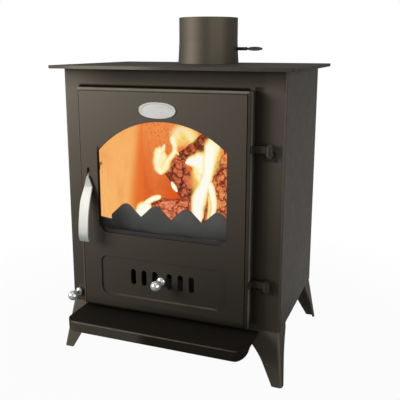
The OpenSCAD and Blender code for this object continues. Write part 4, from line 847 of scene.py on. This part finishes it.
# Each tongue: its name, finish, depth behind the body's front, thickness as a share of its width,
# coolness, and the points of its spine and its widths from foot to tip, in millimetres
TONGUES = (
    ("flame_trunk", flame, 78, 0.3, 0.0,
        ((27, 161), (20, 192), (24, 221), (35, 249), (42, 276), (46, 302), (50, 327), (52, 352)),
        (10, 34, 42, 32, 28, 36, 42, 30)),
    ("flame_trunk_core", flame_core, 74, 0.3, 0.0,
        ((27, 166), (20, 194), (26, 222), (37, 249), (43, 276), (47, 302), (51, 332)),
        (6, 24, 27, 20, 18, 24, 22)),
    ("flame_right", flame, 76, 0.4, 0.0,
        ((43, 166), (52, 190), (54, 215), (50, 238), (45, 258)), (6, 16, 18, 19, 14)),
    ("flame_split", flame_veil, 70, 0.4, 0.5,
        ((40, 166), (44, 190), (45, 212), (42, 234)), (6, 12, 11, 4)),
    ("flame_crest", flame, 82, 0.35, 0.0,
        ((50, 304), (56, 321), (63, 332), (72, 338)), (22, 28, 20, 8)),
    ("flame_halo", flame_haze, 96, 0.3, 0.0,
        ((50, 266), (55, 290), (59, 312), (63, 332)), (16, 36, 38, 18)),
    ("flame_fan", flame, 88, 0.3, 0.0,
        ((-7, 290), (8, 295), (28, 296), (46, 288)), (6, 30, 54, 46)),
    ("flame_fan_middle", flame, 86, 0.3, 0.15, ((16, 284), (28, 280), (42, 272)), (8, 30, 24)),
    ("flame_fan_low", flame_veil, 92, 0.3, 0.1, ((11, 290), (24, 272), (32, 246)), (14, 38, 24)),
    ("flame_glow", flame_glowing, 104, 0.3, 0.1, ((15, 280), (22, 246), (26, 200)), (26, 46, 30)),
    ("flame_left", flame_soft, 98, 0.4, 0.1,
        ((-58, 261), (-65, 278), (-66, 294), (-64, 310), (-63, 325)), (12, 33, 38, 29, 4)),
    ("flame_left_body", flame_soft, 99, 0.3, 0.22,
        ((-57, 264), (-56, 280), (-54, 295), (-56, 316)), (16, 36, 32, 6)),
    ("flame_left_side", flame_soft, 96, 0.4, 0.2,
        ((-56, 267), (-50, 279), (-45, 291), (-41, 303)), (14, 25, 19, 5)),
    ("flame_left_lick", flame_veil, 100, 0.4, 0.2,
        ((-69, 296), (-73, 308), (-70, 320)), (13, 14, 3)),
    ("flame_left_tip", flame_veil, 100, 0.4, 0.0,
        ((-60, 302), (-56, 316), (-51, 329)), (16, 14, 3)),
    ("flame_wisp", flame_soft, 100, 0.4, 0.12,
        ((-55, 283), (-42, 297), (-30, 312), (-29, 325), (-32, 338), (-32, 352)), (14, 19, 18, 17, 26, 10)),
    ("flame_wisp_foot", flame_soft, 102, 0.4, 0.15,
        ((-31, 324), (-26, 314), (-19, 306)), (6, 8, 3)),
    ("flame_curl", flame_wisps, 104, 0.3, -0.1,
        ((-31, 334), (-26, 352), (-13, 361), (0, 355), (6, 343), (2, 330)), (30, 38, 38, 38, 34, 12)),
    ("flame_curl_body", flame_haze, 170, 0.3, -0.25,
        ((-34, 330), (-24, 345), (-8, 352)), (14, 30, 20)),
    ("flame_haze", flame_haze, 172, 0.2, -0.3,
        ((-30, 330), (-10, 345), (8, 352), (28, 356)), (26, 56, 54, 26)),
    ("flame_lick", flame, 100, 0.5, 0.0, ((-24, 228), (-31, 238), (-38, 250)), (4, 13, 4)),
    ("flame_low", flame, 46, 0.4, 0.0,
        ((-108, 160), (-106, 179), (-98, 191), (-82, 199)), (10, 33, 37, 16)),
    ("flame_low_tip", flame, 46, 0.5, 0.03,
        ((-106, 192), (-89, 205), (-75, 213), (-59, 218)), (7, 15, 16, 12)),
)
for number, row in enumerate(TONGUES):
    tongue(*row, seed=number * 1.37 + 1.0)

# The bed of embers: a grid heaped with coals that thins out at its edges
BED_WIDE, BED_DEEP, BED_EDGE = 0.300, 0.215, 0.03
bpy.ops.object.select_all(action="DESELECT")
bpy.ops.mesh.primitive_grid_add(
    x_subdivisions=150, y_subdivisions=110, size=1.0, location=local(0, 140, 133))
bed = active()
bed.scale = (BED_WIDE, BED_DEEP, 1.0)
bpy.ops.object.transform_apply(location=False, rotation=False, scale=True)
for v in bed.data.vertices:
    inside = min(BED_WIDE / 2 - abs(v.co.x), BED_DEEP / 2 - abs(v.co.y)) / BED_EDGE
    lump = 0.5 + 0.5 * noise.noise(Vector((v.co.x * 70, v.co.y * 70, 1.0)))
    coal = abs(noise.noise(Vector((v.co.x * 160, v.co.y * 160, 4.0))))
    v.co.z = max(0.0, min(1.0, inside)) * (0.004 + 0.009 * lump + 0.005 * coal)
bpy.ops.object.modifier_add(type="SOLIDIFY")
bed.modifiers[-1].thickness = 0.8 * MM
bpy.ops.object.modifier_apply(modifier=bed.modifiers[-1].name)
bpy.ops.object.shade_smooth()
settle(bed, "ember_bed", ember_finish("embers"))


# Studio

WHITE = (1, 1, 1, 1)
PAPER = (0.13, 0.13, 0.13, 1.0)
# The floor's middle lies this far behind the stove's, in metres
FLOOR_BACK = 1.5

bpy.ops.object.select_all(action="DESELECT")
bpy.ops.mesh.primitive_plane_add(size=14.0, location=(0, FLOOR_BACK, 0))
floor = active()
floor.name = "studio_floor"
f = Finish("studio_floor")
way = f.node("ShaderNodeLightPath")
x, y, _ = f.axes()
behind_middle = y + FLOOR_BACK
away = (x * x + behind_middle * behind_middle) ** 0.5
# The camera sees a white floor, a little darker near the stove. The stove's reflections see it greyer
plain_view = Num(f, way.outputs["Is Camera Ray"]).most(Num(f, way.outputs["Is Transmission Ray"]))
mirrored = f.step(away, 1.0, 2.2, 0.03, 0.4).most(f.step(behind_middle, -0.05, 0.35) * 0.44)
viewed = plain_view * f.step(away, 0.4, 0.95, 0.962, 1.0)
seen = viewed.most(Num(f, way.outputs["Is Glossy Ray"]) * mirrored)
paper = f.node("ShaderNodeBsdfDiffuse", {}, {"Color": PAPER})
white = f.node("ShaderNodeEmission", {}, {"Color": WHITE, "Strength": 1.0})
f.ends_in(f.node("ShaderNodeMixShader", {}, {0: seen, 1: paper.outputs[0], 2: white.outputs[0]}))
floor.data.materials.append(f.material)

# The backdrop is white to the camera and through the glass, and lights and mirrors as grey paper does
world = bpy.data.worlds.new("studio")
bpy.context.scene.world = world
sky = Nodes(world, "ShaderNodeOutputWorld")
way = sky.node("ShaderNodeLightPath")
camera_ray, glossy_ray, through_ray = (
    Num(sky, way.outputs[kind]) for kind in ("Is Camera Ray", "Is Glossy Ray", "Is Transmission Ray"))
shade = sky.node("ShaderNodeMix", {"data_type": "RGBA"}, {
    0: camera_ray.most(glossy_ray * 0.2, through_ray), 6: PAPER, 7: WHITE})
sky.ends_in(sky.node("ShaderNodeBackground", {}, {0: shade.outputs[2]}))


def softbox(name, place, aim, size, power, colour):
    bpy.ops.object.light_add(type="AREA", location=place)
    lamp = active()
    lamp.name = name
    lamp.data.shape = "RECTANGLE"
    lamp.data.size, lamp.data.size_y = size
    lamp.data.energy = power
    lamp.data.color = colour
    lamp.rotation_mode = "QUATERNION"
    lamp.rotation_quaternion = (Vector(aim) - Vector(place)).to_track_quat("-Z", "Y")


softbox("key_left", (-1.52, -1.3, 1.0), (-0.1, -0.1, 0.45), (1.0, 1.0), 49, (1.0, 0.985, 0.96))
softbox("fill_right", (2.0, -0.95, 0.55), (0.1, 0.1, 0.3), (2.0, 1.6), 26, (1.0, 1.0, 1.0))
softbox("top", (0.0, -0.2, 2.5), (0, 0.05, 0.6), (1.6, 1.2), 5, (1.0, 1.0, 1.0))

# The camera as it was fitted to the photo's corners
YAW, PITCH = 0.3673, 0.2144
camera = bpy.data.objects.new("camera", bpy.data.cameras.new("camera"))
bpy.context.scene.collection.objects.link(camera)
camera.location = (0.4509, -1.1352, 0.6226)
ahead = Vector((-math.sin(YAW) * math.cos(PITCH), math.cos(YAW) * math.cos(PITCH), -math.sin(PITCH)))
camera.rotation_mode = "QUATERNION"
camera.rotation_quaternion = ahead.to_track_quat("-Z", "Y")
camera.data.sensor_width = 36.0
camera.data.lens = 54.117
camera.data.shift_x = 0.00825
camera.data.shift_y = -0.05525
camera.data.clip_start = 0.01
camera.data.clip_end = 50.0
bpy.context.scene.camera = camera
bpy.context.scene.view_settings.view_transform = "Standard"
